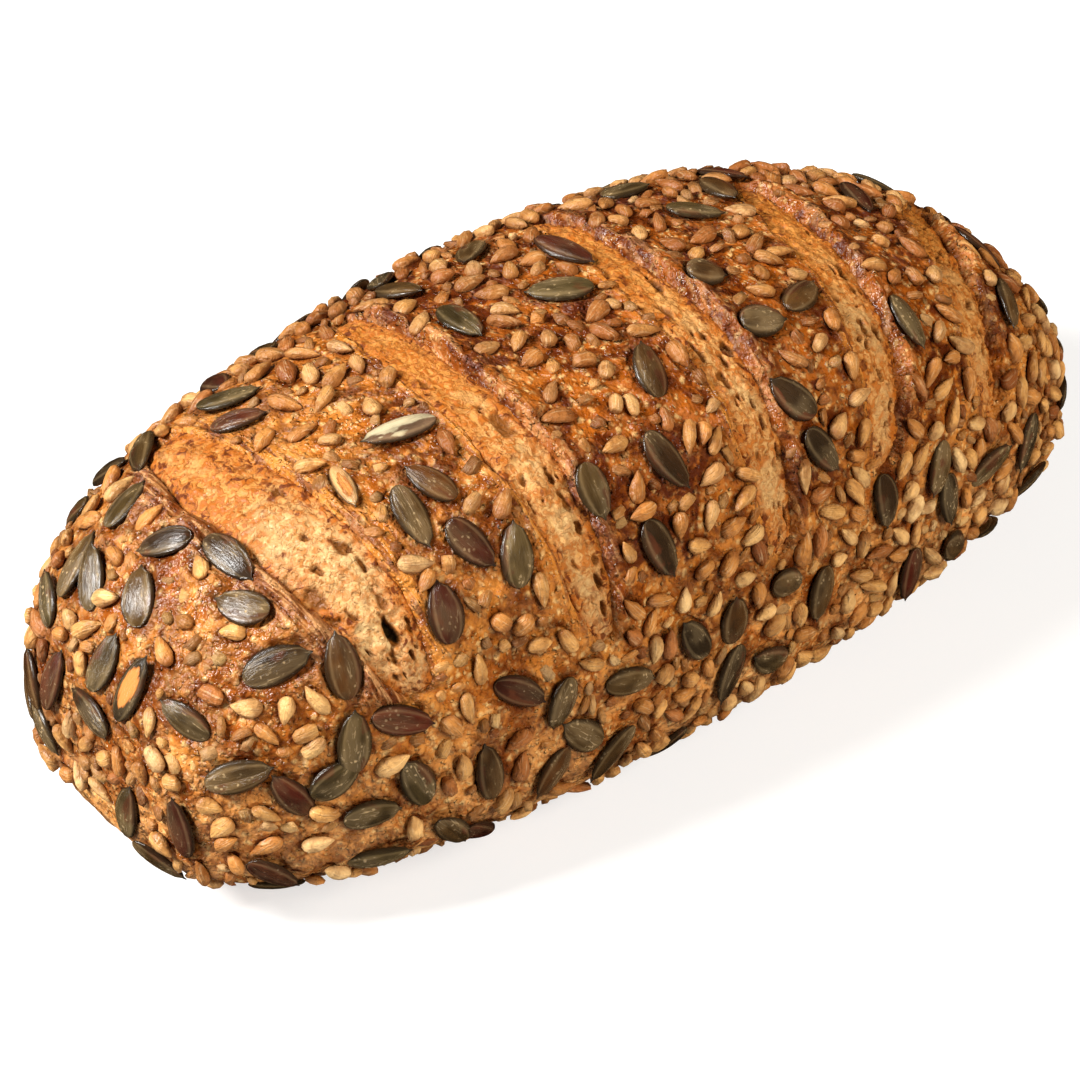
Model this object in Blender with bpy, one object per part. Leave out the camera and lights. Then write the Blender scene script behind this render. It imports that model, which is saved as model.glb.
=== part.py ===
"""Seeded sourdough loaf: a long oval loaf with five slashes across its top and seeds all over its crust.

Metres, +Z up. The origin is the middle of the flat base and +X runs along the loaf. The end towards -X
carries the widest slash, and the side towards -Y is the side that the slashes reach furthest down.

A place on the crust is given by x and by its angle round the loaf: 0 on the ridge, positive towards -Y.
"""

import math
from typing import NamedTuple

import bmesh
import bpy
import numpy as np
from mathutils import Matrix, Vector

MM = 0.001

# The loaf. BELLY is the level of its widest line, and the lower half would end UNDER below that level
# if the base did not cut it flat.
HALF_LENGTH = 135.5 * MM
HALF_WIDTH = 61 * MM
HEIGHT = 99 * MM
BELLY = 25 * MM
UNDER = 32 * MM
TAPER = -0.03
UPPER_SQUARENESS = 2.75
LOWER_SQUARENESS = 2.0
NEAR_END_FALL = 1.2
FAR_END_FALL = 1.64
SEGMENTS_ROUND = 36
SEGMENTS_ALONG = 26

# The slashes.
SLASH_DEPTH = 3.0 * MM
SLASH_SWELL = 0.4
SLASH_POINTS = 11
LIP_RADIUS = 2.4 * MM
LIP_SINK = 0.9 * MM
LIP_ENDS = 0.06

# The seeds. Each is sunk so that its middle lies SEED_LIFT times its thickness above the crust.
SEED_LIFT = 0.12
SEED_TOP = 0.6
SEED_POINTEDNESS = 0.2
LOWEST_SEED = 7 * MM
SLASH_MARGIN = 4.5 * MM
MOST_TILT = math.radians(7)
SEED_ANGLE_LIMIT = math.radians(112)

# The crown, where every pumpkin seed is placed by name and none by the rule.
CROWN_X = (-96 * MM, 104 * MM)
CROWN_DEGREES = (-12, 66)


class Slash(NamedTuple):
    """One slash: x of its middle line at its far end, halfway and at its near end, its angles and width.

    lip is the side whose edge stands up: -1 towards -X, 1 towards +X.
    """

    far_x: float
    middle_x: float
    near_x: float
    far_degrees: float
    near_degrees: float
    width: float
    lip: int


SLASHES = (
    Slash(-94 * MM, -94 * MM, -86 * MM, -31, 57, 19 * MM, -1),
    Slash(-43 * MM, -43 * MM, -39 * MM, -24, 65, 14 * MM, 1),
    Slash(16 * MM, 14 * MM, 12 * MM, -25, 66, 14 * MM, 1),
    Slash(67 * MM, 60 * MM, 46 * MM, -16, 61, 15 * MM, 1),
    Slash(115 * MM, 96 * MM, 87 * MM, -8, 64, 14 * MM, 1),
)


class SeedKind(NamedTuple):
    """Size of a kind of seed and how the rule scatters it.

    Two of a kind stay spacing apart, and one stays clearance away from the seeds laid before it.
    """

    length: float
    width: float
    thickness: float
    sides: int
    spacing: float
    clearance: float
    count: int
    random_seed: int


PUMPKIN = SeedKind(15 * MM, 8 * MM, 2.8 * MM, 6, 10.5 * MM, 10.5 * MM, 84, 11)
ROUND_PUMPKIN = PUMPKIN._replace(length=10.5 * MM, width=8.8 * MM, thickness=3.2 * MM)
SUNFLOWER = SeedKind(8.4 * MM, 4.6 * MM, 2.6 * MM, 5, 15 * MM, 7.5 * MM, 80, 23)
DARTS = 4000

# The pumpkin seeds that catch the eye, by the colour of their skin: x in mm, angle round the loaf and
# heading in degrees. Heading 0 points a seed towards +X, and it grows towards +Y on the ridge.
PLACED_SEEDS = {
    "olive": (
        (-122, -28, -5), (-123, -19, 30), (-109, -22, 5), (-131, -2, -5), (-124, 58, 5), (-107, 67, 25),
        (-102, 60, 80), (-100, 81, -10), (-98, 96, 5), (-90, 76, 110), (-72, 27, -95), (-56, 41, 70),
        (-77, -22, -35), (-53, 73, -110), (-34, 76, -20), (-33, 38, -95), (-28, -4, -90), (-28, -21, -80),
        (-4, 0, 145), (45, -7, -30), (41, -23, -10), (68, 36, -95), (64, 67, -120), (85, 76, 10),
        (104, 96, -160),
    ),
    "wine": (
        (-116, 68, 120), (-133, 75, 95), (-120, 95, -30), (-64, 36, -70), (-76, 44, 80), (-91, 60, -25),
        (-81, -15, -40), (-63, 66, -40), (8, -9, -75), (92, -3, -110), (55, 92, -95), (-134, -38, -40),
    ),
    "dark": (
        (-111, 38, -5), (-106, 12, -90), (-13, 39, -75), (-22, 52, -75), (25, 39, 120), (28, 50, -60),
        (45, 67, -90), (68, 77, -90), (102, 80, -125), (-16, 73, 120), (-5, 88, -115),
    ),
    "brown": (
        (-100, 44, 80), (-64, 23, 110), (-4, 24, 70), (44, 23, 20), (-72, 82, 95), (-56, 90, -135),
        (-4, 74, 90), (23, 80, -100),
    ),
    "round": ((28, 11, -35), (29, 25, -25), (12, 72, -25), (71, 92, -35)),
    "pale": ((-61, 11, 165),),
    "bare": ((-131, 16, -5),),
    "hollow": ((-79, 15, -105),),
}


def clear_scene():
    """Remove every object that the scene already holds."""
    for obj in list(bpy.data.objects):
        bpy.data.objects.remove(obj, do_unlink=True)


def new_collection(name):
    """Return a new collection linked to the scene."""
    collection = bpy.data.collections.new(name)
    bpy.context.scene.collection.children.link(collection)
    return collection


def new_material(name, colour, roughness):
    """Return a Principled material of one colour."""
    material = bpy.data.materials.new(name)
    material.use_nodes = True
    shader = material.node_tree.nodes["Principled BSDF"]
    shader.inputs["Base Color"].default_value = (*colour, 1.0)
    shader.inputs["Roughness"].default_value = roughness
    shader.inputs["Metallic"].default_value = 0.0
    return material


def mesh_object(name, bm, material, collection):
    """Turn a bmesh into a named object with one material, and free the bmesh."""
    mesh = bpy.data.meshes.new(name)
    bm.to_mesh(mesh)
    bm.free()
    mesh.materials.append(material)
    obj = bpy.data.objects.new(name, mesh)
    collection.objects.link(obj)
    return obj


# The form of the loaf


def station(sine):
    """Return x for a sine of latitude, -1 at one end and 1 at the other, crowded towards the ends."""
    held = min(max(sine, -1.0), 1.0)
    return HALF_LENGTH * held * math.sqrt(2 - held**2)


def crust_point(x, angle):
    """Return the point of the bare crust at x and at an angle round the loaf."""
    along = min(max(x / HALF_LENGTH, -1.0), 1.0)
    narrowing = max((1 - along**2) ** 0.25, 1e-4)
    fall = narrowing ** (NEAR_END_FALL if along < 0 else FAR_END_FALL)
    half_width = HALF_WIDTH * (1 + TAPER * along) * narrowing
    if math.cos(angle) > 0:
        depth = (HEIGHT * (1 + 0.8 * TAPER * along) - BELLY) * fall
        squareness = UPPER_SQUARENESS
    else:
        depth = UNDER * fall
        squareness = LOWER_SQUARENESS
    sideways = abs(math.sin(angle) / half_width) ** squareness
    upright = abs(math.cos(angle) / depth) ** squareness
    radius = (sideways + upright) ** (-1 / squareness)
    return Vector((x, -radius * math.sin(angle), BELLY + radius * math.cos(angle)))


def crust_normal(x, angle):
    """Return the outward normal of the bare crust, from two short steps across it."""
    step = 0.4 * MM
    inner = min(max(x, step - HALF_LENGTH), HALF_LENGTH - step)
    along = crust_point(inner + step, angle) - crust_point(inner - step, angle)
    around = crust_point(inner, angle + 0.01) - crust_point(inner, angle - 0.01)
    return around.cross(along).normalized()


def loaf_body(material, collection):
    """Return the bare loaf: a sphere whose poles are the two ends, drawn out and cut flat at the base."""
    bm = bmesh.new()
    bmesh.ops.create_uvsphere(bm, u_segments=SEGMENTS_ROUND, v_segments=SEGMENTS_ALONG, radius=1.0)
    for vertex in bm.verts:
        vertex.co = crust_point(station(vertex.co.z), math.atan2(vertex.co.y, vertex.co.x))
    everything = bm.verts[:] + bm.edges[:] + bm.faces[:]
    cut = bmesh.ops.bisect_plane(bm, geom=everything, plane_co=(0, 0, 0), plane_no=(0, 0, -1), clear_outer=True)
    rim = [item for item in cut["geom_cut"] if isinstance(item, bmesh.types.BMEdge)]
    bmesh.ops.contextual_create(bm, geom=rim)
    bmesh.ops.recalc_face_normals(bm, faces=bm.faces[:])
    return mesh_object("loaf", bm, material, collection)


# The slashes


def slash_angle(slash, progress):
    """Return the angle round the loaf at a progress of 0 (far end) to 1 (near end) along a slash."""
    return math.radians(slash.far_degrees + (slash.near_degrees - slash.far_degrees) * progress)


def slash_middle(slash, progress):
    """Return x of the middle line: the parabola through the slash's three named places."""
    far = slash.far_x * (1 - progress) * (1 - 2 * progress)
    middle = slash.middle_x * 4 * progress * (1 - progress)
    near = slash.near_x * progress * (2 * progress - 1)
    return far + middle + near


def slash_swell(progress):
    """Return the slash's share of its full width and depth: 1 halfway and 0 at both ends."""
    return max(4 * progress * (1 - progress), 0.0) ** SLASH_SWELL


def in_slash(x, angle):
    """Tell whether a place lies in a slash or within SLASH_MARGIN of one."""
    for slash in SLASHES:
        span = slash.near_degrees - slash.far_degrees
        progress = (math.degrees(angle) - slash.far_degrees) / span
        reach = slash.width / 2 * slash_swell(progress) + SLASH_MARGIN
        if 0 < progress < 1 and abs(x - slash_middle(slash, progress)) < reach:
            return True
    return False


def tapered_tube(name, stations, material, collection):
    """Return a closed mesh tube through (point, radius) stations."""
    curve = bpy.data.curves.new(name, "CURVE")
    curve.dimensions = "3D"
    curve.bevel_depth = 1.0
    curve.bevel_resolution = 2
    curve.use_fill_caps = True
    spline = curve.splines.new("POLY")
    spline.points.add(len(stations) - 1)
    for target, (point, radius) in zip(spline.points, stations):
        target.co = (*point, 1.0)
        target.radius = radius
    guide = bpy.data.objects.new(name + "_guide", curve)
    collection.objects.link(guide)
    graph = bpy.context.evaluated_depsgraph_get()
    mesh = bpy.data.meshes.new_from_object(guide.evaluated_get(graph))
    bpy.data.objects.remove(guide, do_unlink=True)
    bm = bmesh.new()
    bm.from_mesh(mesh)
    bmesh.ops.remove_doubles(bm, verts=bm.verts[:], dist=0.00001)
    bmesh.ops.recalc_face_normals(bm, faces=bm.faces[:])
    return mesh_object(name, bm, material, collection)


def slash_stations(slash):
    """Return the stations of the tube that grazes the crust and carves the slash."""
    stations = []
    for index in range(SLASH_POINTS):
        progress = (index + 0.3) / (SLASH_POINTS - 0.4)
        share = slash_swell(progress)
        half_width = slash.width / 2 * share
        depth = SLASH_DEPTH * share
        radius = (half_width**2 + depth**2) / (2 * depth)
        x = slash_middle(slash, progress)
        angle = slash_angle(slash, progress)
        point = crust_point(x, angle) + crust_normal(x, angle) * (radius - depth)
        stations.append((point, radius))
    return stations


def lip_stations(slash):
    """Return the stations of the torn lip that stands up along one edge of the slash."""
    stations = []
    for index in range(SLASH_POINTS):
        progress = LIP_ENDS + (1 - 2 * LIP_ENDS) * index / (SLASH_POINTS - 1)
        share = slash_swell(progress)
        radius = LIP_RADIUS * share**2
        x = slash_middle(slash, progress) + slash.lip * (slash.width / 2 * share + radius / 2)
        angle = slash_angle(slash, progress)
        point = crust_point(x, angle) - crust_normal(x, angle) * LIP_SINK
        stations.append((point, radius))
    return stations


# The seeds


def in_crown(x, angle):
    """Tell whether a place lies in the crown."""
    across = CROWN_DEGREES[0] < math.degrees(angle) < CROWN_DEGREES[1]
    return across and CROWN_X[0] < x < CROWN_X[1]


def clear_of(point, taken, distance):
    """Tell whether a point keeps its distance from every point already taken."""
    return all((point - other).length >= distance for other in taken)


def scattered(kind, laid, keep_off_crown):
    """Return places for one kind of seed, found by throwing darts at the crust.

    Each dart draws how far along the loaf it lands, spread so that the blunt ends get their share, and
    its angle and heading. It is dropped in a slash, in the loaf's lowest band, too near another seed
    and, where asked, in the crown.
    """
    draw = np.random.default_rng(kind.random_seed)
    laid_points = [crust_point(x, angle) for x, angle, heading in laid]
    places = []
    points = []
    for _ in range(DARTS):
        x = station(draw.uniform(-1, 1))
        angle = draw.uniform(-SEED_ANGLE_LIMIT, SEED_ANGLE_LIMIT)
        heading = draw.uniform(-math.pi, math.pi)
        point = crust_point(x, angle)
        if len(places) == kind.count:
            break
        if point.z < LOWEST_SEED or in_slash(x, angle) or (keep_off_crown and in_crown(x, angle)):
            continue
        if clear_of(point, points, kind.spacing) and clear_of(point, laid_points, kind.clearance):
            places.append((x, angle, heading))
            points.append(point)
    return places


def placed(skins):
    """Return the named places of the pumpkin seeds with these skins."""
    return [
        (x * MM, math.radians(angle), math.radians(heading))
        for skin in skins
        for x, angle, heading in PLACED_SEEDS[skin]
    ]


def seed_mesh(name, kind, material):
    """Return one kind of seed: a low bevelled slab, long along X, with a corner at its tip towards +X."""
    bm = bmesh.new()
    bmesh.ops.create_cone(
        bm,
        cap_ends=True,
        segments=kind.sides,
        radius1=0.5,
        radius2=0.5 * SEED_TOP,
        depth=1.0,
    )
    for vertex in bm.verts:
        side, along, height = vertex.co
        narrow = 1 - SEED_POINTEDNESS * 2 * along
        vertex.co = (along * kind.length, -side * kind.width * narrow, height * kind.thickness)
    bmesh.ops.recalc_face_normals(bm, faces=bm.faces[:])
    mesh = bpy.data.meshes.new(name)
    bm.to_mesh(mesh)
    bm.free()
    mesh.materials.append(material)
    return mesh


def seed_matrix(x, angle, heading, lift):
    """Return the placing of a seed that lies on the crust with its length along the heading."""
    normal = crust_normal(x, angle)
    along_x = Vector((1, 0, 0)) - normal * normal.x
    along_x.normalize()
    across = normal.cross(along_x)
    forward = along_x * math.cos(heading) + across * math.sin(heading)
    side = normal.cross(forward)
    turn = Matrix((forward, side, normal)).transposed().to_4x4()
    return Matrix.Translation(crust_point(x, angle) + normal * lift) @ turn


def lay_seeds(kind, places, mesh, collection):
    """Place one object for each seed, each tilted a little, all sharing one mesh."""
    draw = np.random.default_rng(kind.random_seed + 1)
    for number, (x, angle, heading) in enumerate(places):
        seed = bpy.data.objects.new(f"{mesh.name}_{number:03d}", mesh)
        tilt = Matrix.Rotation(draw.uniform(-MOST_TILT, MOST_TILT), 4, "X")
        seed.matrix_world = seed_matrix(x, angle, heading, SEED_LIFT * kind.thickness) @ tilt
        collection.objects.link(seed)


# Joining


def add_boolean(obj, operation, collection):
    """Add a Boolean modifier that works with every object of a collection."""
    modifier = obj.modifiers.new(operation.lower(), "BOOLEAN")
    modifier.operation = operation
    modifier.operand_type = "COLLECTION"
    modifier.collection = collection
    modifier.solver = "EXACT"


def apply_modifiers(obj):
    """Replace an object's mesh by the result of its modifiers."""
    bpy.context.view_layer.update()
    graph = bpy.context.evaluated_depsgraph_get()
    mesh = bpy.data.meshes.new_from_object(obj.evaluated_get(graph))
    obj.modifiers.clear()
    obj.data = mesh


def shell_of(start, left):
    """Return the faces reached from one face over edges that two faces share, taken out of those left."""
    shell = []
    border = [start]
    left.discard(start)
    while border:
        face = border.pop()
        shell.append(face)
        for edge in face.edges:
            for neighbour in edge.link_faces:
                if len(edge.link_faces) == 2 and neighbour in left:
                    left.discard(neighbour)
                    border.append(neighbour)
    return shell


def keep_largest_shell(mesh):
    """Drop every shell but the largest: loose scraps outside it and sealed hollows inside it."""
    bm = bmesh.new()
    bm.from_mesh(mesh)
    left = set(bm.faces)
    shells = []
    while left:
        shells.append(shell_of(next(iter(left)), left))
    shells.sort(key=len)
    spare = [face for shell in shells[:-1] for face in shell]
    bmesh.ops.delete(bm, geom=spare, context="FACES")
    bm.to_mesh(mesh)
    bm.free()


def build_loaf():
    """Build the loaf, slash it, and fuse its lips and seeds to it."""
    crust = new_material("crust", (0.40, 0.18, 0.06), 0.55)
    crumb = new_material("crumb", (0.66, 0.42, 0.18), 0.80)
    pumpkin_skin = new_material("pumpkin_seed", (0.10, 0.09, 0.04), 0.35)
    kernel_skin = new_material("sunflower_seed", (0.60, 0.38, 0.18), 0.50)

    loaf_collection = new_collection("seeded_loaf")
    cutters = new_collection("slash_cutters")
    toppings = new_collection("toppings")

    loaf = loaf_body(crust, loaf_collection)
    for number, slash in enumerate(SLASHES, 1):
        cutter = tapered_tube(f"slash_{number}", slash_stations(slash), crumb, cutters)
        cutter.hide_render = True
        cutter.display_type = "WIRE"
        tapered_tube(f"lip_{number}", lip_stations(slash), crust, toppings)

    round_ones = placed(["round"])
    long_ones = placed(skin for skin in PLACED_SEEDS if skin != "round")
    long_ones += scattered(PUMPKIN, long_ones + round_ones, True)
    kernels = scattered(SUNFLOWER, long_ones + round_ones, False)
    lay_seeds(PUMPKIN, long_ones, seed_mesh("pumpkin", PUMPKIN, pumpkin_skin), toppings)
    lay_seeds(ROUND_PUMPKIN, round_ones, seed_mesh("round", ROUND_PUMPKIN, pumpkin_skin), toppings)
    lay_seeds(SUNFLOWER, kernels, seed_mesh("sunflower", SUNFLOWER, kernel_skin), toppings)

    add_boolean(loaf, "DIFFERENCE", cutters)
    add_boolean(loaf, "UNION", toppings)
    apply_modifiers(loaf)
    for topping in list(toppings.objects):
        bpy.data.objects.remove(topping, do_unlink=True)
    keep_largest_shell(loaf.data)
    loaf.data.shade_smooth()
    loaf.data.set_sharp_from_angle(angle=math.radians(50))


clear_scene()
build_loaf()
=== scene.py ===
"""Looks of the seeded sourdough loaf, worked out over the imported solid.

The loaf is dressed in separate pieces that stand for its one solid: the glazed crust, the torn crumb in
each of its five slashes, the pumpkin seeds, the sunflower kernels and the broken bits of kernel. The
file goes from the loaf's form and the rules that lay the seeds, over the finishes, to the pieces and the
studio.

Metres, +Z up, +X along the loaf. A place on the crust is given by x and by its angle round the loaf:
0 on the ridge, positive towards -Y.
"""

import logging
import math
from collections.abc import Callable, Iterable
from dataclasses import dataclass, field
from enum import Enum

import bpy
import numpy as np
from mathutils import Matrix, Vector


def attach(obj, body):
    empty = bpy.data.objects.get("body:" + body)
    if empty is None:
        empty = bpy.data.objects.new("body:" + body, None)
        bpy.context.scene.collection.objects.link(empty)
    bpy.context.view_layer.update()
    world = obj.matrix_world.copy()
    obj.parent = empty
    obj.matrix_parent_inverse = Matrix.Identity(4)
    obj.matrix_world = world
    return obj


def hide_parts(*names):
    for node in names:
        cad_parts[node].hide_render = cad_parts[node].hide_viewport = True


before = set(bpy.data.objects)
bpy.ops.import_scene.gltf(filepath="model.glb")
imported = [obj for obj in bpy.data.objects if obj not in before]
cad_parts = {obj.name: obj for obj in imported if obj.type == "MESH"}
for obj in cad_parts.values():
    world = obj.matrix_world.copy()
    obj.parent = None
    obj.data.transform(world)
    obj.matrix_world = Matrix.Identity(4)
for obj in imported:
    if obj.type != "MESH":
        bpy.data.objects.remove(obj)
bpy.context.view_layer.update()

Array = np.ndarray
Colour = tuple[float, float, float]
Place = tuple[float, float, float]
Number = float | Array
Density = Callable[[Array, Array], Array]

Socket = bpy.types.NodeSocket
Value = bpy.types.NodeSocket | float

MM = 0.001
NODE = "loaf"
BODY = "root"

log = logging.getLogger("seeded_loaf")


# Arithmetic on whole arrays


def smooth_step(value: Array, low: Number, high: Number) -> Array:
    """Return 0 below low and 1 above high, with the cubic 3t^2 - 2t^3 between.

    Args:
        value: The values to grade.
        low: Where the step starts.
        high: Where the step ends.

    Returns:
        The graded values, between 0 and 1.
    """
    share = np.clip((value - low) / (high - low), 0.0, 1.0)
    return share * share * (3.0 - 2.0 * share)


def bell(value: Array, middle: Number, spread: Number) -> Array:
    """Return the bell curve exp(-((value - middle) / spread)^2)."""
    return np.exp(-(((value - middle) / spread) ** 2))


def crowded(weight: Array, low: float, high: float, count: int) -> Array:
    """Return rising values that lie closer together where a weight is large.

    The weight, sampled evenly from low to high, is summed up, and the sum is cut in equal shares.

    Args:
        weight: The weight at evenly spaced samples.
        low: The first value.
        high: The last value.
        count: How many values to return.

    Returns:
        The values, the first at low and the last at high.
    """
    samples = np.linspace(low, high, len(weight))
    total = np.concatenate([[0.0], np.cumsum((weight[1:] + weight[:-1]) / 2)])
    return np.interp(np.linspace(0.0, total[-1], count), total, samples)


@dataclass
class DoughNoise:
    """Smooth seeded noise in space, for dough that never swells evenly.

    Each corner of a cubic lattice holds a random slope. A point gets the blend of what the slopes of its
    eight corners say, by the curve 6t^5 - 15t^4 + 10t^3, and gain brings it to about -1 to 1.
    """

    seed: int
    corners: int = 256
    gain: float = 1.6
    octave_shift: float = 0.137

    def __post_init__(self) -> None:
        """Draw the slopes and the order in which corners pick them."""
        draw = np.random.default_rng(self.seed)
        self.order = np.tile(draw.permutation(self.corners), 2)
        slopes = draw.normal(size=(self.corners, 3))
        self.slopes = slopes / np.linalg.norm(slopes, axis=1, keepdims=True)

    def at(self, points: Array, size: float) -> Array:
        """Return noise of about -1 to 1.

        Args:
            points: Points in metres, with x, y and z last.
            size: The width of the noise's lumps in metres.

        Returns:
            One value for each point.
        """
        scaled = points / size
        corner = np.floor(scaled).astype(np.int64)
        inside = scaled - corner
        blend = inside**3 * (inside * (inside * 6 - 15) + 10)
        total = np.zeros(points.shape[:-1])
        for step in np.ndindex(2, 2, 2):
            cell = (corner + step) % self.corners
            pick = self.order[self.order[self.order[cell[..., 0]] + cell[..., 1]] + cell[..., 2]]
            slope_says = ((inside - step) * self.slopes[pick]).sum(axis=-1)
            near = np.where(np.array(step) == 1, blend, 1 - blend).prod(axis=-1)
            total += near * slope_says
        return total * self.gain

    def rough(self, points: Array, size: float, octaves: int, falloff: float = 0.5) -> Array:
        """Return noise summed over ever finer lumps, each octave half the size of the last.

        Args:
            points: Points in metres, with x, y and z last.
            size: The width of the coarsest lumps in metres.
            octaves: How many sizes are summed.
            falloff: The strength of each octave against the last.

        Returns:
            One value for each point, of about -1 to 1.
        """
        total = np.zeros(points.shape[:-1])
        strength = 1.0
        for octave in range(octaves):
            shifted = points + self.octave_shift * (octave + 1)
            total += strength * self.at(shifted, size / 2**octave)
            strength *= falloff
        return total


# The form of the loaf and of its slashes


@dataclass(frozen=True)
class LoafForm:
    """The bare loaf: an oval of squarish cross-section, flat underneath, the same form as the solid's."""

    half_length: float = 135.5 * MM
    half_width: float = 61 * MM
    height: float = 99 * MM
    belly: float = 25 * MM
    under: float = 32 * MM
    taper: float = -0.03
    height_taper: float = 0.8
    upper_squareness: float = 2.75
    lower_squareness: float = 2.0
    near_end_fall: float = 1.2
    far_end_fall: float = 1.64
    base_rounding: float = 3 * MM
    lump_height: float = 0.7 * MM
    lump_size: float = 42 * MM
    noise: DoughNoise = field(default_factory=lambda: DoughNoise(5))

    def station(self, sine: Array) -> Array:
        """Return x for a sine of latitude, crowded towards the ends: half length * s * sqrt(2 - s^2)."""
        held = np.clip(sine, -1.0, 1.0)
        return self.half_length * held * np.sqrt(2 - held**2)

    def crust(self, x: Array, angle: Array) -> Array:
        """Return points of the bare crust.

        Each cross-section is a superellipse about the belly line, |y / b|^n + |z / h|^n = 1, whose half
        width b and height h shrink with (1 - x^2 / half length^2)^(1/4) and powers of it. Below the belly
        it has its own depth and exponent, and the base rounds it off to a flat.

        Args:
            x: Positions along the loaf.
            angle: Angles round the loaf from the ridge.

        Returns:
            The points, with x, y and z last.
        """
        along = np.clip(x / self.half_length, -1.0, 1.0)
        narrowing = np.maximum((1 - along**2) ** 0.25, 1e-4)
        fall = narrowing ** np.where(along < 0, self.near_end_fall, self.far_end_fall)
        half_width = self.half_width * (1 + self.taper * along) * narrowing
        upper = np.cos(angle) > 0
        rise = (self.height * (1 + self.height_taper * self.taper * along) - self.belly) * fall
        depth = np.where(upper, rise, self.under * fall)
        squareness = np.where(upper, self.upper_squareness, self.lower_squareness)
        sideways = np.abs(np.sin(angle) / half_width) ** squareness
        upright = np.abs(np.cos(angle) / depth) ** squareness
        radius = (sideways + upright) ** (-1 / squareness)
        level = self.belly + radius * np.cos(angle)
        soft = (level + self.base_rounding) ** 2 / (4 * self.base_rounding)
        rounded = np.where(level < -self.base_rounding, 0.0, soft)
        level = np.where(level > self.base_rounding, level, rounded)
        return np.stack(np.broadcast_arrays(x, -radius * np.sin(angle), level), axis=-1)

    def normal(self, x: Array, angle: Array) -> Array:
        """Return outward normals of the bare crust, from two short steps across it.

        Args:
            x: Each place's x, in metres.
            angle: Each place's angle round the loaf.

        Returns:
            Unit vectors, with x, y and z last.
        """
        step, turn = 0.4 * MM, 0.01
        inner = np.clip(x, step - self.half_length, self.half_length - step)
        along = self.crust(inner + step, angle) - self.crust(inner - step, angle)
        around = self.crust(inner, angle + turn) - self.crust(inner, angle - turn)
        normal = np.cross(around, along)
        length = np.linalg.norm(normal, axis=-1, keepdims=True)
        return normal / np.maximum(length, 1e-15)

    def lumps(self, points: Array) -> Array:
        """Return how far the crust swells past the bare form, in lumps that die away at the base."""
        swell = self.noise.rough(points, self.lump_size, 2, 0.6)
        return self.lump_height * swell * smooth_step(points[..., 2], 2 * MM, 22 * MM)


@dataclass(frozen=True)
class Slash:
    """One slash, from its far end to its near end.

    x is given at the far end, halfway and at the near end, and the angles at both ends. lip is the side
    whose edge stands up: -1 towards -X, 1 towards +X, and brow is how wide the other edge is pulled into
    strands. bulge is how far the crumb swells in the middle, sink how deep it lies, lean how much deeper
    it lies by the lip, pores how many holes the rule gives it, and paleness how little it has browned.
    holes are the holes that catch the eye, each with its progress along the slash, its place across it
    from -1 to 1, its radius, its stretch and its depth. The torn edge strays by raggedness, in waves of
    tear_size.
    """

    name: str
    far_x: float
    middle_x: float
    near_x: float
    far_degrees: float
    near_degrees: float
    width: float
    lip: int
    lip_height: float
    lip_width: float
    brow: float
    bulge: float
    sink: float
    lean: float
    pores: int
    paleness: float
    holes: tuple[tuple[float, float, float, float, float], ...] = ()
    raggedness: float = 1.3 * MM
    tear_size: float = 11 * MM

    def angle(self, progress: Array) -> Array:
        """Return the angle round the loaf at a progress of 0 to 1 along the slash."""
        return np.radians(self.far_degrees + (self.near_degrees - self.far_degrees) * progress)

    def progress(self, angle: Array) -> Array:
        """Return the progress along the slash, 0 to 1 between its ends, at an angle round the loaf."""
        return (np.degrees(angle) - self.far_degrees) / (self.near_degrees - self.far_degrees)

    def middle(self, progress: Array) -> Array:
        """Return x of the middle line: the parabola through the slash's three named places.

        Args:
            progress: How far along the slash, from 0 at its far end to 1 at its near end.

        Returns:
            The middle line's x, in metres.
        """
        far = self.far_x * (1 - progress) * (1 - 2 * progress)
        middle = self.middle_x * 4 * progress * (1 - progress)
        near = self.near_x * progress * (2 * progress - 1)
        return far + middle + near

    def swell(self, progress: Array) -> Array:
        """Return the share of the full width and depth: (4p(1 - p))^0.4, 0 at both ends."""
        return np.maximum(4 * progress * (1 - progress), 0.0) ** 0.4

    def ragged(self, points: Array, noise: DoughNoise) -> Array:
        """Return how far the torn edge strays outwards, in metres, at points of the crust."""
        return self.raggedness * noise.rough(points, self.tear_size, 3, 0.6)


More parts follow.
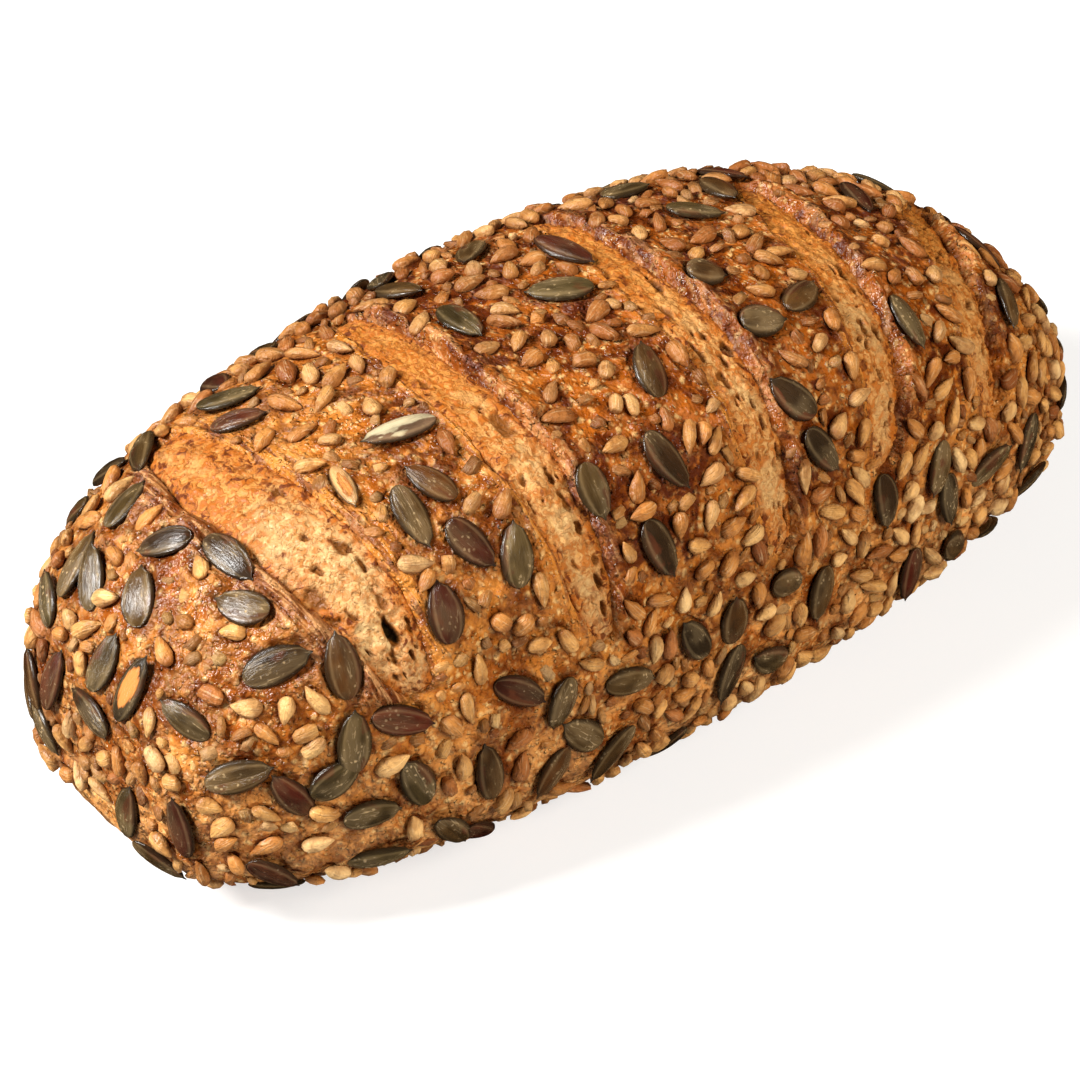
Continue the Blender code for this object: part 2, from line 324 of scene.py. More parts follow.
SLASHES = (
    Slash(
        "first", -94 * MM, -94 * MM, -86 * MM, -31, 57, 19 * MM,
        lip=-1, lip_height=2.1 * MM, lip_width=7.0 * MM, brow=7.0 * MM,
        bulge=1.8 * MM, sink=1.7 * MM, lean=0.5 * MM, pores=20, paleness=1.0,
        holes=(
            (0.56, 0.10, 1.1 * MM, 1.3, 1.2 * MM), (0.63, 0.45, 1.2 * MM, 1.7, 1.0 * MM),
            (0.41, -0.25, 0.9 * MM, 1.3, 0.8 * MM), (0.84, 0.20, 1.9 * MM, 2.1, 3.0 * MM),
        ),
    ),
    Slash(
        "second", -43 * MM, -43 * MM, -39 * MM, -24, 65, 14 * MM,
        lip=1, lip_height=1.6 * MM, lip_width=3.2 * MM, brow=3.0 * MM,
        bulge=0.6 * MM, sink=1.5 * MM, lean=1.1 * MM, pores=18, paleness=0.45,
        holes=(
            (0.63, 0.35, 1.1 * MM, 1.8, 2.0 * MM), (0.74, 0.40, 0.9 * MM, 1.4, 1.7 * MM),
            (0.86, 0.30, 1.3 * MM, 1.8, 2.0 * MM), (0.92, 0.20, 1.1 * MM, 1.5, 1.9 * MM),
        ),
    ),
    Slash(
        "third", 16 * MM, 14 * MM, 12 * MM, -25, 66, 14 * MM,
        lip=1, lip_height=1.6 * MM, lip_width=3.4 * MM, brow=3.0 * MM,
        bulge=0.6 * MM, sink=1.5 * MM, lean=1.1 * MM, pores=22, paleness=0.40,
        holes=(
            (0.34, 0.45, 1.0 * MM, 2.6, 2.0 * MM), (0.56, 0.60, 1.4 * MM, 2.4, 2.2 * MM),
            (0.72, 0.35, 0.9 * MM, 2.2, 1.8 * MM), (0.92, 0.50, 0.9 * MM, 2.6, 1.9 * MM),
        ),
    ),
    Slash(
        "fourth", 67 * MM, 60 * MM, 46 * MM, -16, 61, 15 * MM,
        lip=1, lip_height=1.5 * MM, lip_width=3.2 * MM, brow=3.0 * MM,
        bulge=0.5 * MM, sink=1.7 * MM, lean=1.2 * MM, pores=24, paleness=0.3,
        holes=(
            (0.14, 0.30, 1.5 * MM, 1.4, 1.9 * MM), (0.48, 0.30, 1.1 * MM, 3.2, 2.2 * MM),
            (0.67, 0.45, 1.5 * MM, 2.0, 1.9 * MM), (0.84, 0.40, 1.1 * MM, 2.0, 2.2 * MM),
        ),
    ),
    Slash(
        "fifth", 115 * MM, 96 * MM, 87 * MM, -8, 64, 14 * MM,
        lip=1, lip_height=1.4 * MM, lip_width=3.0 * MM, brow=3.0 * MM,
        bulge=0.5 * MM, sink=1.7 * MM, lean=1.0 * MM, pores=20, paleness=0.15,
        holes=(
            (0.24, 0.00, 1.5 * MM, 1.8, 1.9 * MM), (0.46, 0.30, 1.0 * MM, 3.2, 2.2 * MM),
            (0.74, 0.40, 1.0 * MM, 2.6, 2.0 * MM),
        ),
    ),
)

# About how long a slash is over the crust, for whatever is laid out along it
SLASH_LENGTH = 95 * MM


# Meshes


def mesh_piece(
    name: str,
    points: Array,
    quads: Array,
    triangles: Array | None = None,
    values: dict[str, Array] | None = None,
    colours: dict[str, Array] | None = None,
    flat_map: Array | None = None,
) -> bpy.types.Object:
    """Make a smooth-shaded mesh object, standing at the origin with its place in its mesh.

    Args:
        name: The object's name.
        points: The points, one per row.
        quads: The corner numbers of the four-cornered faces.
        triangles: The corner numbers of the three-cornered faces, if there are any.
        values: Numbers carried by the points, by attribute name.
        colours: Colours carried by the points, by attribute name.
        flat_map: The place of each point on the piece's own flat map.

    Returns:
        The new object, linked to the scene.
    """
    if triangles is None:
        triangles = np.empty((0, 3), np.int64)
    corners = np.concatenate([quads.ravel(), triangles.ravel()]).astype(np.int32)
    starts = np.concatenate(
        [np.arange(len(quads)) * 4, quads.size + np.arange(len(triangles)) * 3]
    ).astype(np.int32)
    mesh = bpy.data.meshes.new(name)
    mesh.vertices.add(len(points))
    mesh.vertices.foreach_set("co", points.astype(np.float32).ravel())
    mesh.loops.add(len(corners))
    mesh.loops.foreach_set("vertex_index", corners)
    mesh.polygons.add(len(starts))
    mesh.polygons.foreach_set("loop_start", starts)
    for key, numbers in (values or {}).items():
        layer = mesh.attributes.new(key, "FLOAT", "POINT")
        layer.data.foreach_set("value", numbers.astype(np.float32).ravel())
    for key, shades in (colours or {}).items():
        layer = mesh.attributes.new(key, "FLOAT_COLOR", "POINT")
        opaque = np.concatenate([shades, np.ones((len(shades), 1))], axis=1)
        layer.data.foreach_set("color", opaque.astype(np.float32).ravel())
    if flat_map is not None:
        layer = mesh.uv_layers.new(name="UVMap")
        layer.data.foreach_set("uv", flat_map[corners].astype(np.float32).ravel())
    mesh.update(calc_edges=True)
    mesh.validate()
    mesh.shade_smooth()
    piece = bpy.data.objects.new(name, mesh)
    bpy.context.scene.collection.objects.link(piece)
    return piece


def grid_quads(rows: int, columns: int, wrapped: bool) -> Array:
    """Return the quads of a grid whose points are numbered row by row.

    Args:
        rows: How many rows of points there are.
        columns: How many points a row has.
        wrapped: Whether the last column joins the first.

    Returns:
        Four corner numbers for each quad.
    """
    row, column = np.meshgrid(
        np.arange(rows - 1), np.arange(columns if wrapped else columns - 1), indexing="ij"
    )
    here = row * columns + column
    beside = row * columns + (column + 1) % columns
    return np.stack([here, beside, beside + columns, here + columns], axis=-1).reshape(-1, 4)


def capped(points: Array) -> tuple[Array, Array, Array]:
    """Close a wrapped grid of points whose first and last rows have shrunk to a pole each.

    Args:
        points: The grid, with rows, columns and x, y, z. The first point of the first row and of the last
            row stand for the poles.

    Returns:
        The points one per row, the quads between the rows, and the triangles round the two poles.
    """
    rows, columns = points.shape[:2]
    body = points[1:-1].reshape(-1, 3)
    first, last = len(body), len(body) + 1
    every = np.concatenate([body, points[0, :1], points[-1, :1]])
    column = np.arange(columns)
    beside = (column + 1) % columns
    foot = (rows - 3) * columns
    near = np.stack([np.full(columns, first), beside, column], axis=-1)
    far = np.stack([np.full(columns, last), foot + column, foot + beside], axis=-1)
    return every, grid_quads(rows - 2, columns, True), np.concatenate([near, far])


def for_points(grid: Array) -> Array:
    """Flatten a grid of numbers or vectors in the order in which capped() lists the points."""
    return np.concatenate([grid[1:-1].reshape(-1, *grid.shape[2:]), grid[0, :1], grid[-1, :1]])


# Where the seeds lie


class Skin(Enum):
    """What the skin of a pumpkin seed looks like."""

    OLIVE = "olive"
    WINE = "wine"
    DARK = "dark"
    BROWN = "brown"
    ROUND = "round"
    PALE = "pale"
    BARE = "bare"
    HOLLOW = "hollow"


@dataclass(frozen=True)
class SkinLook:
    """Colour of a skin, the size of seed that has it, how dusty it is, and how far it is worn open."""

    colour: Colour
    length: float = 15 * MM
    width: float = 8 * MM
    thickness: float = 2.7 * MM
    dust: float = 0.35
    opened: float = 0.0


SKIN_LOOKS = {
    Skin.OLIVE: SkinLook((0.078, 0.045, 0.015), dust=0.8),
    Skin.WINE: SkinLook((0.072, 0.015, 0.007), width=7.8 * MM, dust=0.35),
    Skin.DARK: SkinLook((0.036, 0.019, 0.008), dust=0.6),
    Skin.BROWN: SkinLook((0.092, 0.037, 0.010), dust=0.45),
    Skin.ROUND: SkinLook((0.090, 0.050, 0.019), 10.5 * MM, 8.8 * MM, 3.4 * MM, dust=0.8),
    Skin.PALE: SkinLook((0.640, 0.480, 0.280), length=18.5 * MM, width=7.6 * MM, dust=0.5),
    Skin.BARE: SkinLook((0.036, 0.020, 0.009), length=18 * MM, width=7.6 * MM, opened=1.0),
    Skin.HOLLOW: SkinLook((0.560, 0.340, 0.140), length=14 * MM, width=4.8 * MM, opened=0.8),
}

# The pumpkin seeds that catch the eye: x in mm, angle round the loaf and heading in degrees. Heading 0
# points a seed towards +X, and it grows towards +Y on the ridge. The solid has its seeds here too.
PLACED_SEEDS = {
    Skin.OLIVE: (
        (-122, -28, -5), (-123, -19, 30), (-109, -22, 5), (-131, -2, -5), (-124, 58, 5), (-107, 67, 25),
        (-102, 60, 80), (-100, 81, -10), (-98, 96, 5), (-90, 76, 110), (-72, 27, -95), (-56, 41, 70),
        (-77, -22, -35), (-53, 73, -110), (-34, 76, -20), (-33, 38, -95), (-28, -4, -90), (-28, -21, -80),
        (-4, 0, 145), (45, -7, -30), (41, -23, -10), (68, 36, -95), (64, 67, -120), (85, 76, 10),
        (104, 96, -160),
    ),
    Skin.WINE: (
        (-116, 68, 120), (-133, 75, 95), (-120, 95, -30), (-64, 36, -70), (-76, 44, 80), (-91, 60, -25),
        (-81, -15, -40), (-63, 66, -40), (8, -9, -75), (92, -3, -110), (55, 92, -95), (-134, -38, -40),
    ),
    Skin.DARK: (
        (-111, 38, -5), (-106, 12, -90), (-13, 39, -75), (-22, 52, -75), (25, 39, 120), (28, 50, -60),
        (45, 67, -90), (68, 77, -90), (102, 80, -125), (-16, 73, 120), (-5, 88, -115),
    ),
    Skin.BROWN: (
        (-100, 44, 80), (-64, 23, 110), (-4, 24, 70), (44, 23, 20), (-72, 82, 95), (-56, 90, -135),
        (-4, 74, 90), (23, 80, -100),
    ),
    Skin.PALE: ((-61, 11, 165),),
    Skin.BARE: ((-131, 16, -5),),
    Skin.HOLLOW: ((-79, 15, -105),),
    Skin.ROUND: ((28, 11, -35), (29, 25, -25), (12, 72, -25), (71, 92, -35)),
}


@dataclass(frozen=True)
class Scatter:
    """How a rule lays one kind of seed: at most count of them, off the slashes by slash_margin.

    Large seeds stay spacing apart, and clearance away from the seeds laid before them. Small ones, which
    lie close together, have the length and width that each of them may take up instead.
    """

    count: int
    random_seed: int
    darts: int = 4000
    slash_margin: float = 4.5 * MM
    spacing: float = 0.0
    clearance: float = 0.0
    length: float = 0.0
    width: float = 0.0


# No seed's middle lies lower than this, or further round the loaf than the limit
LOWEST_SEED = 7 * MM
SEED_ANGLE_LIMIT = math.radians(112)

# The crown, where no pumpkin seed is laid by rule
CROWN_X = (-96 * MM, 104 * MM)
CROWN_DEGREES = (-12, 66)

# How many whole units each seed's place on the flat map may be moved by, so that none looks alike
FLAT_TILES = 40

PUMPKIN_SCATTER = Scatter(84, 11, spacing=10.5 * MM, clearance=10.5 * MM)
LARGE_KERNEL_SCATTER = Scatter(80, 23, spacing=15 * MM, clearance=7.5 * MM)
KERNEL_SCATTER = Scatter(1480, 31, 36000, slash_margin=2.4 * MM, length=7.6 * MM, width=4.2 * MM)
BIT_SCATTER = Scatter(1000, 47, 14000, slash_margin=1.0 * MM, length=3.4 * MM, width=2.6 * MM)


@dataclass
class Lying:
    """Seeds as they lie: a frame on the crust and a size for each of them.

    lift is the share of its thickness by which a seed's middle stands off the crust, and most_tilt how
    steeply it may pitch or roll.
    """

    form: LoafForm
    places: list[Place]
    length: Array
    width: Array
    thickness: Array
    lift: float
    random_seed: int
    most_tilt: float = 0.10

    def __post_init__(self) -> None:
        """Work out each seed's middle, and its forward, sideways and upward directions."""
        x, angle, heading = np.array(self.places).T
        draw = np.random.default_rng(self.random_seed)
        bare = self.form.crust(x, angle)
        self.up = self.form.normal(x, angle)
        lifted = (self.form.lumps(bare) + self.lift * self.thickness)[:, None]
        self.middle = bare + self.up * lifted
        along_x = np.array([1.0, 0.0, 0.0]) - self.up * self.up[:, :1]
        along_x /= np.linalg.norm(along_x, axis=1, keepdims=True)
        across = np.cross(self.up, along_x)
        self.forward = along_x * np.cos(heading)[:, None] + across * np.sin(heading)[:, None]
        self.side = np.cross(self.up, self.forward)
        self.pitch = draw.uniform(-self.most_tilt, self.most_tilt, len(x))
        self.roll = draw.uniform(-self.most_tilt, self.most_tilt, len(x))

    def oval_axes(self, margin: float) -> Array:
        """Return each seed's two flat directions, over its half length and half width plus a margin.

        Args:
            margin: What is added to each half, in metres.

        Returns:
            One pair of vectors for each seed, along it and across it.
        """
        forward = self.forward / (self.length[:, None] / 2 + margin)
        side = self.side / (self.width[:, None] / 2 + margin)
        return np.stack([forward, side], axis=1)

    def laid_out(self, along: Array, across: Array, upward: Array) -> Array:
        """Carry a seed's own coordinates to every seed's place.

        Args:
            along: From -1 at the butt to 1 at the tip, for each seed or for all of them.
            across: From -1 to 1 over the width.
            upward: From -1 to 1 over the thickness.

        Returns:
            Points with the seed first and x, y and z last.
        """
        forth = along * self.length[:, None] / 2
        sideways = across * self.width[:, None] / 2
        height = upward * self.thickness[:, None] / 2
        height = height + self.pitch[:, None] * forth + self.roll[:, None] * sideways
        return (
            self.middle[:, None, :]
            + forth[..., None] * self.forward[:, None, :]
            + sideways[..., None] * self.side[:, None, :]
            + height[..., None] * self.up[:, None, :]
        )


@dataclass
class SeedBed:
    """The crust as the seeds find it: which places are free, and how densely each kind lies there.

    Where small seeds are packed, each oval already there is grown by a share of the new seed's width,
    close_by is how far off a seed may lie and still matter, and spine how much of a half length counts.
    """

    form: LoafForm
    slashes: tuple[Slash, ...] = SLASHES
    grown: float = 0.30
    close_by: float = 16 * MM
    spine: float = 0.42

    def in_slash(self, x: Array, angle: Array, margin: float) -> Array:
        """Tell which places lie in a slash or within a margin of one.

        Args:
            x: Each place's x, in metres.
            angle: Each place's angle round the loaf.
            margin: How far beside a slash still counts, in metres.

        Returns:
            True where they do.
        """
        found = np.zeros(x.shape, bool)
        for slash in self.slashes:
            progress = slash.progress(angle)
            reach = slash.width / 2 * slash.swell(progress) + margin
            within = (progress > 0) & (progress < 1)
            found |= within & (np.abs(x - slash.middle(progress)) < reach)
        return found

    def anywhere(self, x: Array, angle: Array) -> Array:
        """Return a density of 1 for every place."""
        return np.ones(x.shape)

    def off_crown(self, x: Array, angle: Array) -> Array:
        """Return a density of 1 but for the crown, where every pumpkin seed is placed by name.

        Args:
            x: Each place's x, in metres.
            angle: Each place's angle round the loaf.

        Returns:
            The density, 0 or 1.
        """
        degrees = np.degrees(angle)
        across = (degrees > CROWN_DEGREES[0]) & (degrees < CROWN_DEGREES[1])
        return 1.0 - (across & (x > CROWN_X[0]) & (x < CROWN_X[1]))

    def kernel_density(self, x: Array, angle: Array) -> Array:
        """Return how densely kernels lie, 0 to 1.

        They are sparse on the end towards -X and about the first two slashes, and crowd together over
        the ridge on the far side, along the loaf towards +X and low on the side towards -Y.

        Args:
            x: Each place's x, in metres.
            angle: Each place's angle round the loaf.

        Returns:
            The density.
        """
        degrees = np.degrees(angle)
        along = smooth_step(x, -70 * MM, 20 * MM)
        far_side = smooth_step(-degrees, 2, 16)
        low_side = smooth_step(degrees, 42, 62) * smooth_step(x, -50 * MM, -15 * MM)
        far_end = smooth_step(x, 70 * MM, 110 * MM)
        return np.clip(0.05 + 0.10 * along + 0.6 * far_side + 0.7 * low_side + 0.4 * far_end, 0.0, 1.0)

    def bit_density(self, x: Array, angle: Array) -> Array:
        """Return how densely broken bits lie: as the kernels do, and strewn over the crown as well."""
        strewn = 0.16 + 0.34 * bell(x, 0.0, 38 * MM)
        return np.clip(self.kernel_density(x, angle) + strewn, 0.0, 1.0)

    def thrown(self, rule: Scatter, density: Density) -> list[Place]:
        """Throw darts at the crust, and keep those that may hold a seed.

        Each dart draws how far along the loaf it lands, spread so that the blunt ends get their share,
        and its angle and heading. It is dropped in a slash, in the loaf's lowest band, and where the
        density says so.

        Args:
            rule: The number of darts, the margin about the slashes and the random seed.
            density: A function of x and angle that gives the share of darts kept.

        Returns:
            The x, angle and heading of each dart kept.
        """
        draw = np.random.default_rng(rule.random_seed)
        limits = np.array([1.0, SEED_ANGLE_LIMIT, math.pi])
        sine, angle, heading = draw.uniform(-limits, limits, size=(rule.darts, 3)).T
        x = self.form.station(sine)
        free = self.form.crust(x, angle)[:, 2] >= LOWEST_SEED
        free &= ~self.in_slash(x, angle, rule.slash_margin)
        free &= draw.uniform(size=rule.darts) < density(x, angle)
        return [tuple(place) for place in np.stack([x, angle, heading], axis=1)[free].tolist()]

    def scattered(self, rule: Scatter, laid: list[Place], density: Density) -> list[Place]:
        """Find places for large seeds, which stay clear of each other.

        Args:
            rule: The spacing, the clearance and the count.
            laid: The places of the seeds that lie there already.
            density: A function of x and angle that gives the share of darts kept.

        Returns:
            The x, angle and heading of each new seed.
        """
        places = self.thrown(rule, density)
        points, others = (self.form.crust(*np.array(some).T[:2]) for some in (places, laid))
        chosen: list[int] = []
        for dart, point in enumerate(points):
            off_kind = np.linalg.norm(points[chosen] - point, axis=1) >= rule.spacing
            off_others = np.linalg.norm(others - point, axis=1) >= rule.clearance
            if len(chosen) < rule.count and off_kind.all() and off_others.all():
                chosen.append(dart)
        return [places[dart] for dart in chosen]

    def packed(self, rule: Scatter, laid: list[Lying], density: Density) -> list[Place]:
        """Find places for small seeds that lie close together and hardly overlap.

        A dart is kept only when five points along the new seed's axis all lie outside the ovals of the
        seeds already there: with f and s the way from a seed's middle along and across it, in units of
        its grown half length and half width, f^2 + s^2 is 1 or more.

        Args:
            rule: The new seeds' length and width, and the count.
            laid: The seeds that lie there already.
            density: A function of x and angle that gives the share of darts kept.

        Returns:
            The x, angle and heading of each new seed.
        """
        places = self.thrown(rule, density)
        sizes = (np.full(len(places), size) for size in (rule.length, rule.width, rule.width))
        tried = Lying(self.form, places, *sizes, lift=0.0, random_seed=0)
        margin = rule.width * self.grown
        middles = np.concatenate([lying.middle for lying in laid])
        axes = np.concatenate([lying.oval_axes(margin) for lying in laid])
        own_axes = tried.oval_axes(margin)
        steps = np.linspace(-self.spine, self.spine, 5)[:, None] * rule.length
        chosen: list[int] = []
        for dart, middle in enumerate(tried.middle):
            if len(chosen) == rule.count:
                break
            near = np.abs(middles - middle).max(axis=1) < self.close_by
            away = (middle + steps * tried.forward[dart])[None] - middles[near][:, None]
            reach = (np.einsum("nij,nkj->nki", axes[near], away) ** 2).sum(axis=-1)
            if (reach >= 1).all():
                chosen.append(dart)
                middles = np.concatenate([middles, middle[None]])
                axes = np.concatenate([axes, own_axes[dart : dart + 1]])
        return [places[dart] for dart in chosen]


# Finishes


class Wiring:
    """Lays nodes in one node tree and joins them, so that a finish reads as a short recipe."""

    def __init__(self, tree: bpy.types.NodeTree) -> None:
        """Take the tree that the nodes go into."""
        self.tree = tree

    def add(self, kind: str, inputs: dict[str | int, object], **settings: object) -> bpy.types.Node:
        """Add a node.

        Args:
            kind: The node's type name, without the leading ShaderNode.
            inputs: What goes into its sockets, by name or number: a socket to join, or a plain value.
            settings: Its other settings, by property name.

        Returns:
            The new node.
        """
        node = self.tree.nodes.new("ShaderNode" + kind)
        for key, value in settings.items():
            setattr(node, key, value)
        for key, value in inputs.items():
            if isinstance(value, bpy.types.NodeSocket):
                self.tree.links.new(value, node.inputs[key])
            else:
                node.inputs[key].default_value = value
        return node

    def noise(self, vector: Socket, size: float, detail: float = 3.0, distortion: float = 0.0) -> Socket:
        """Return a noise mask of 0 to 1 whose coarsest lumps are size wide."""
        inputs = {"Vector": vector, "Scale": 1 / size, "Detail": detail, "Distortion": distortion}
        return self.add("TexNoise", inputs).outputs["Fac"]

    def graded(
        self, value: Socket, low: Value, high: Value, at_low: float = 0.0, at_high: float = 1.0
    ) -> Socket:
        """Return the value graded smoothly from at_low at low to at_high at high."""
        inputs = {"Value": value, "From Min": low, "From Max": high, "To Min": at_low, "To Max": at_high}
        return self.add("MapRange", inputs, interpolation_type="SMOOTHSTEP").outputs["Result"]

    def eased(self, mask: Socket, at_none: float, at_full: float) -> Socket:
        """Return a mask of 0 to 1 brought smoothly to at_none where it is 0 and at_full where it is 1."""
        return self.graded(mask, 0.0, 1.0, at_none, at_full)

    def maths(self, operation: str, first: Value, second: Value) -> Socket:
        """Return one number worked out from two."""
        return self.add("Math", {0: first, 1: second}, operation=operation).outputs["Value"]

    def vectors(self, operation: str, inputs: dict[int, object]) -> Socket:
        """Return one vector worked out from what goes in."""
        return self.add("VectorMath", inputs, operation=operation).outputs["Vector"]

    def times(self, first: Value, second: Value) -> Socket:
        """Return the product of two numbers."""
        return self.maths("MULTIPLY", first, second)

    def most(self, first: Value, second: Value) -> Socket:
        """Return the larger of two numbers."""
        return self.maths("MAXIMUM", first, second)

    def mixed(self, share: Socket, first: Colour | Socket, second: Colour | Socket) -> Socket:
        """Return the first colour with a share of the second blended in."""
        return self.add("Mix", {6: rgba(first), 7: rgba(second), 0: share}, data_type="RGBA").outputs[2]

    def coated(self, colour: Colour | Socket, *coats: tuple[Socket, Colour | Socket]) -> Socket:
        """Return a colour under coats of others, each with its share first, and the last one on top.

        Args:
            colour: What lies underneath.
            coats: Pairs of a share and a colour.

        Returns:
            The colour that shows.
        """
        for share, coat in coats:
            colour = self.mixed(share, colour, coat)
        return colour

    def carried(self, name: str, output: str = "Fac") -> Socket:
        """Return what the piece's points carry under a name."""
        return self.add("Attribute", {}, attribute_name=name).outputs[output]

    def place(self, space: str = "Object") -> Socket:
        """Return the place on the piece: in metres, or on its flat map where the space is UV."""
        return self.add("TexCoord", {}).outputs[space]


def rgba(colour: Colour | Socket) -> tuple[float, float, float, float] | Socket:
    """Return a plain colour with an alpha of 1, and leave a socket as it is."""
    return (*colour, 1.0) if isinstance(colour, tuple) else colour


def new_group(
    name: str, takes: dict[str, float | None], gives: list[str]
) -> tuple[Wiring, bpy.types.NodeInputs, bpy.types.NodeOutputs]:
    """Start a shader node group.

    Args:
        name: The group's name.
        takes: Its inputs and their usual values, with None for a vector.
        gives: Its outputs, all numbers.

    Returns:
        The wiring of the group's tree, the sockets of what it takes and the sockets of what it gives.
    """
    group = bpy.data.node_groups.new(name, "ShaderNodeTree")
    for key, value in takes.items():
        kind = "NodeSocketVector" if value is None else "NodeSocketFloat"
        socket = group.interface.new_socket(key, in_out="INPUT", socket_type=kind)
        if value is not None:
            socket.default_value = value
    for key in gives:
        group.interface.new_socket(key, in_out="OUTPUT", socket_type="NodeSocketFloat")
    taking, giving = group.nodes.new("NodeGroupInput"), group.nodes.new("NodeGroupOutput")
    return Wiring(group), taking.outputs, giving.inputs


class BakedEffects:
    """The effects that several finishes share: the oven's blush, warped pebbles and fine blisters."""

    def __init__(self) -> None:
        """Build the three groups."""
        self.blush = self.make_blush()
        self.pebbles = self.make_pebbles()
        self.blisters = self.make_blisters()

    def make_blush(self) -> bpy.types.NodeTree:
        """Build the group that says where the oven coloured the bread more: warped noise, made steep.

        Returns:
            The group's tree.
        """
        wiring, takes, gives = new_group(
            "oven_blush", {"Place": None, "Size": 0.02, "Amount": 0.5, "Softness": 0.2}, ["Mask"]
        )
        scale = wiring.maths("DIVIDE", 1.0, takes["Size"])
        waves = {"Vector": takes["Place"], "Scale": scale, "Detail": 4.0, "Roughness": 0.52}
        noise = wiring.add("TexNoise", {**waves, "Distortion": 0.9}).outputs["Fac"]
        cut = wiring.maths("SUBTRACT", 1.0, takes["Amount"])
        low, high = (wiring.maths(way, cut, takes["Softness"]) for way in ("SUBTRACT", "ADD"))
        wiring.tree.links.new(wiring.graded(noise, low, high), gives["Mask"])
        return wiring.tree

    def make_pebbles(self) -> bpy.types.NodeTree:
        """Build the group of pebbles: a warped mosaic, with each cell's middle, rim and chance.

        Returns:
            The group's tree.
        """
        wiring, takes, gives = new_group(
            "pebbles", {"Place": None, "Size": 0.002, "Warp": 2.2}, ["Middle", "Rim", "Chance"]
        )
        place, size = takes["Place"], takes["Size"]
        scale = wiring.maths("DIVIDE", 1.0, size)
        waves = {"Vector": place, "Scale": wiring.times(scale, 0.7), "Detail": 3.0}
        stray = wiring.add("TexNoise", waves).outputs["Color"]
        centred = wiring.vectors("SUBTRACT", {0: stray, 1: (0.5, 0.5, 0.5)})
        moved = wiring.vectors("SCALE", {0: centred, 3: wiring.times(size, takes["Warp"])})
        warped = wiring.vectors("ADD", {0: place, 1: moved})
        cells = wiring.add("TexVoronoi", {"Vector": warped, "Scale": scale}).outputs
        walls = wiring.add("TexVoronoi", {"Vector": warped, "Scale": scale}, feature="DISTANCE_TO_EDGE")
        given = {
            "Middle": wiring.graded(cells["Distance"], 0.12, 0.55, 1.0, 0.0),
            "Rim": wiring.graded(walls.outputs["Distance"], 0.0, 0.28, 1.0, 0.0),
            "Chance": wiring.add("SeparateColor", {0: cells["Color"]}).outputs["Red"],
        }
        for key, value in given.items():
            wiring.tree.links.new(value, gives[key])
        return wiring.tree

    def make_blisters(self) -> bpy.types.NodeTree:
        """Build the group of fine relief: noise over two sizes and small rounded cells.

        Returns:
            The group's tree.
        """
        wiring, takes, gives = new_group("crust_blisters", {"Place": None, "Size": 0.002}, ["Height"])
        spread = {"Vector": takes["Place"], "Scale": wiring.maths("DIVIDE", 1.0, takes["Size"])}
        coarse = wiring.add("TexNoise", {**spread, "Detail": 2.0, "Roughness": 0.5}).outputs["Fac"]
        cells = wiring.add("TexVoronoi", {**spread, "Smoothness": 1.0}, feature="SMOOTH_F1").outputs
        dimpled = wiring.times(cells["Distance"], -0.5)
        wiring.tree.links.new(wiring.maths("ADD", coarse, dimpled), gives["Height"])
        return wiring.tree


class Finish:
    """A material with its Principled shader, its wiring and the shared effects."""

    def __init__(self, name: str, effects: BakedEffects, **fixed: float) -> None:
        """Make the material.

        Args:
            name: The material's name.
            effects: The shared groups.
            fixed: Values that are the same all over, by the shader's socket names with _ for a space.
        """
        self.material = bpy.data.materials.new(name)
        self.material.use_nodes = True
        self.tree = self.material.node_tree
        self.shader = self.tree.nodes["Principled BSDF"]
        self.wiring = Wiring(self.tree)
        self.effects = effects
        for key, value in fixed.items():
            self.shader.inputs[key.replace("_", " ")].default_value = value

    def effect(self, group: bpy.types.NodeTree, **inputs: Value) -> bpy.types.NodeOutputs:
        """Place one of the shared groups and return its outputs."""
        return self.wiring.add("Group", inputs, node_tree=group).outputs

    def blush(self, place: Socket, size: float, amount: float, softness: float) -> Socket:
        """Return the mask of patches, size wide, that the oven coloured more."""
        group = self.effects.blush
        return self.effect(group, Place=place, Size=size, Amount=amount, Softness=softness)["Mask"]

    def blisters(self, place: Socket, size: float) -> Socket:
        """Return the height of fine relief whose blisters are size wide."""
        return self.effect(self.effects.blisters, Place=place, Size=size)["Height"]

    def pebbles(self, place: Socket, size: float, warp: float) -> bpy.types.NodeOutputs:
        """Return the outputs of the pebbles group, for pebbles that are size wide."""
        return self.effect(self.effects.pebbles, Place=place, Size=size, Warp=warp)

    def coloured(self, colour: Socket, roughness: Socket) -> None:
        """Join the colour and the roughness to the shader."""
        self.tree.links.new(colour, self.shader.inputs["Base Color"])
        self.tree.links.new(roughness, self.shader.inputs["Roughness"])

    def raised(self, *layers: tuple[Socket, float]) -> None:
        """Join relief to the shader, from the first layer to the last, each a height and its depth.

        Args:
            layers: Pairs of a height that changes over the surface and its depth in metres.
        """
        below: dict[str, Socket] = {}
        for height, depth in layers:
            inputs = {"Height": height, "Distance": depth, "Strength": 1.0, **below}
            bump = self.wiring.add("Bump", inputs)
            below = {"Normal": bump.outputs["Normal"]}
        self.tree.links.new(below["Normal"], self.shader.inputs["Normal"])

    def put_on(self, piece: bpy.types.Object) -> None:
        """Give the material to a piece."""
        piece.data.materials.append(self.material)


def slash_streaks(wiring: Wiring) -> Socket:
    """Return a noise mask drawn out along the slashes, as the strands of torn dough are.

    Args:
        wiring: The wiring of the finish that it belongs to.

    Returns:
        The mask, 0 to 1.
    """
    place = wiring.carried("slash_place", "Vector")
    drawn_out = wiring.add("Mapping", {"Vector": place, "Scale": (1.0, 0.13, 1.0)})
    return wiring.noise(drawn_out.outputs["Vector"], 1.2 * MM, 3.0, 0.6)


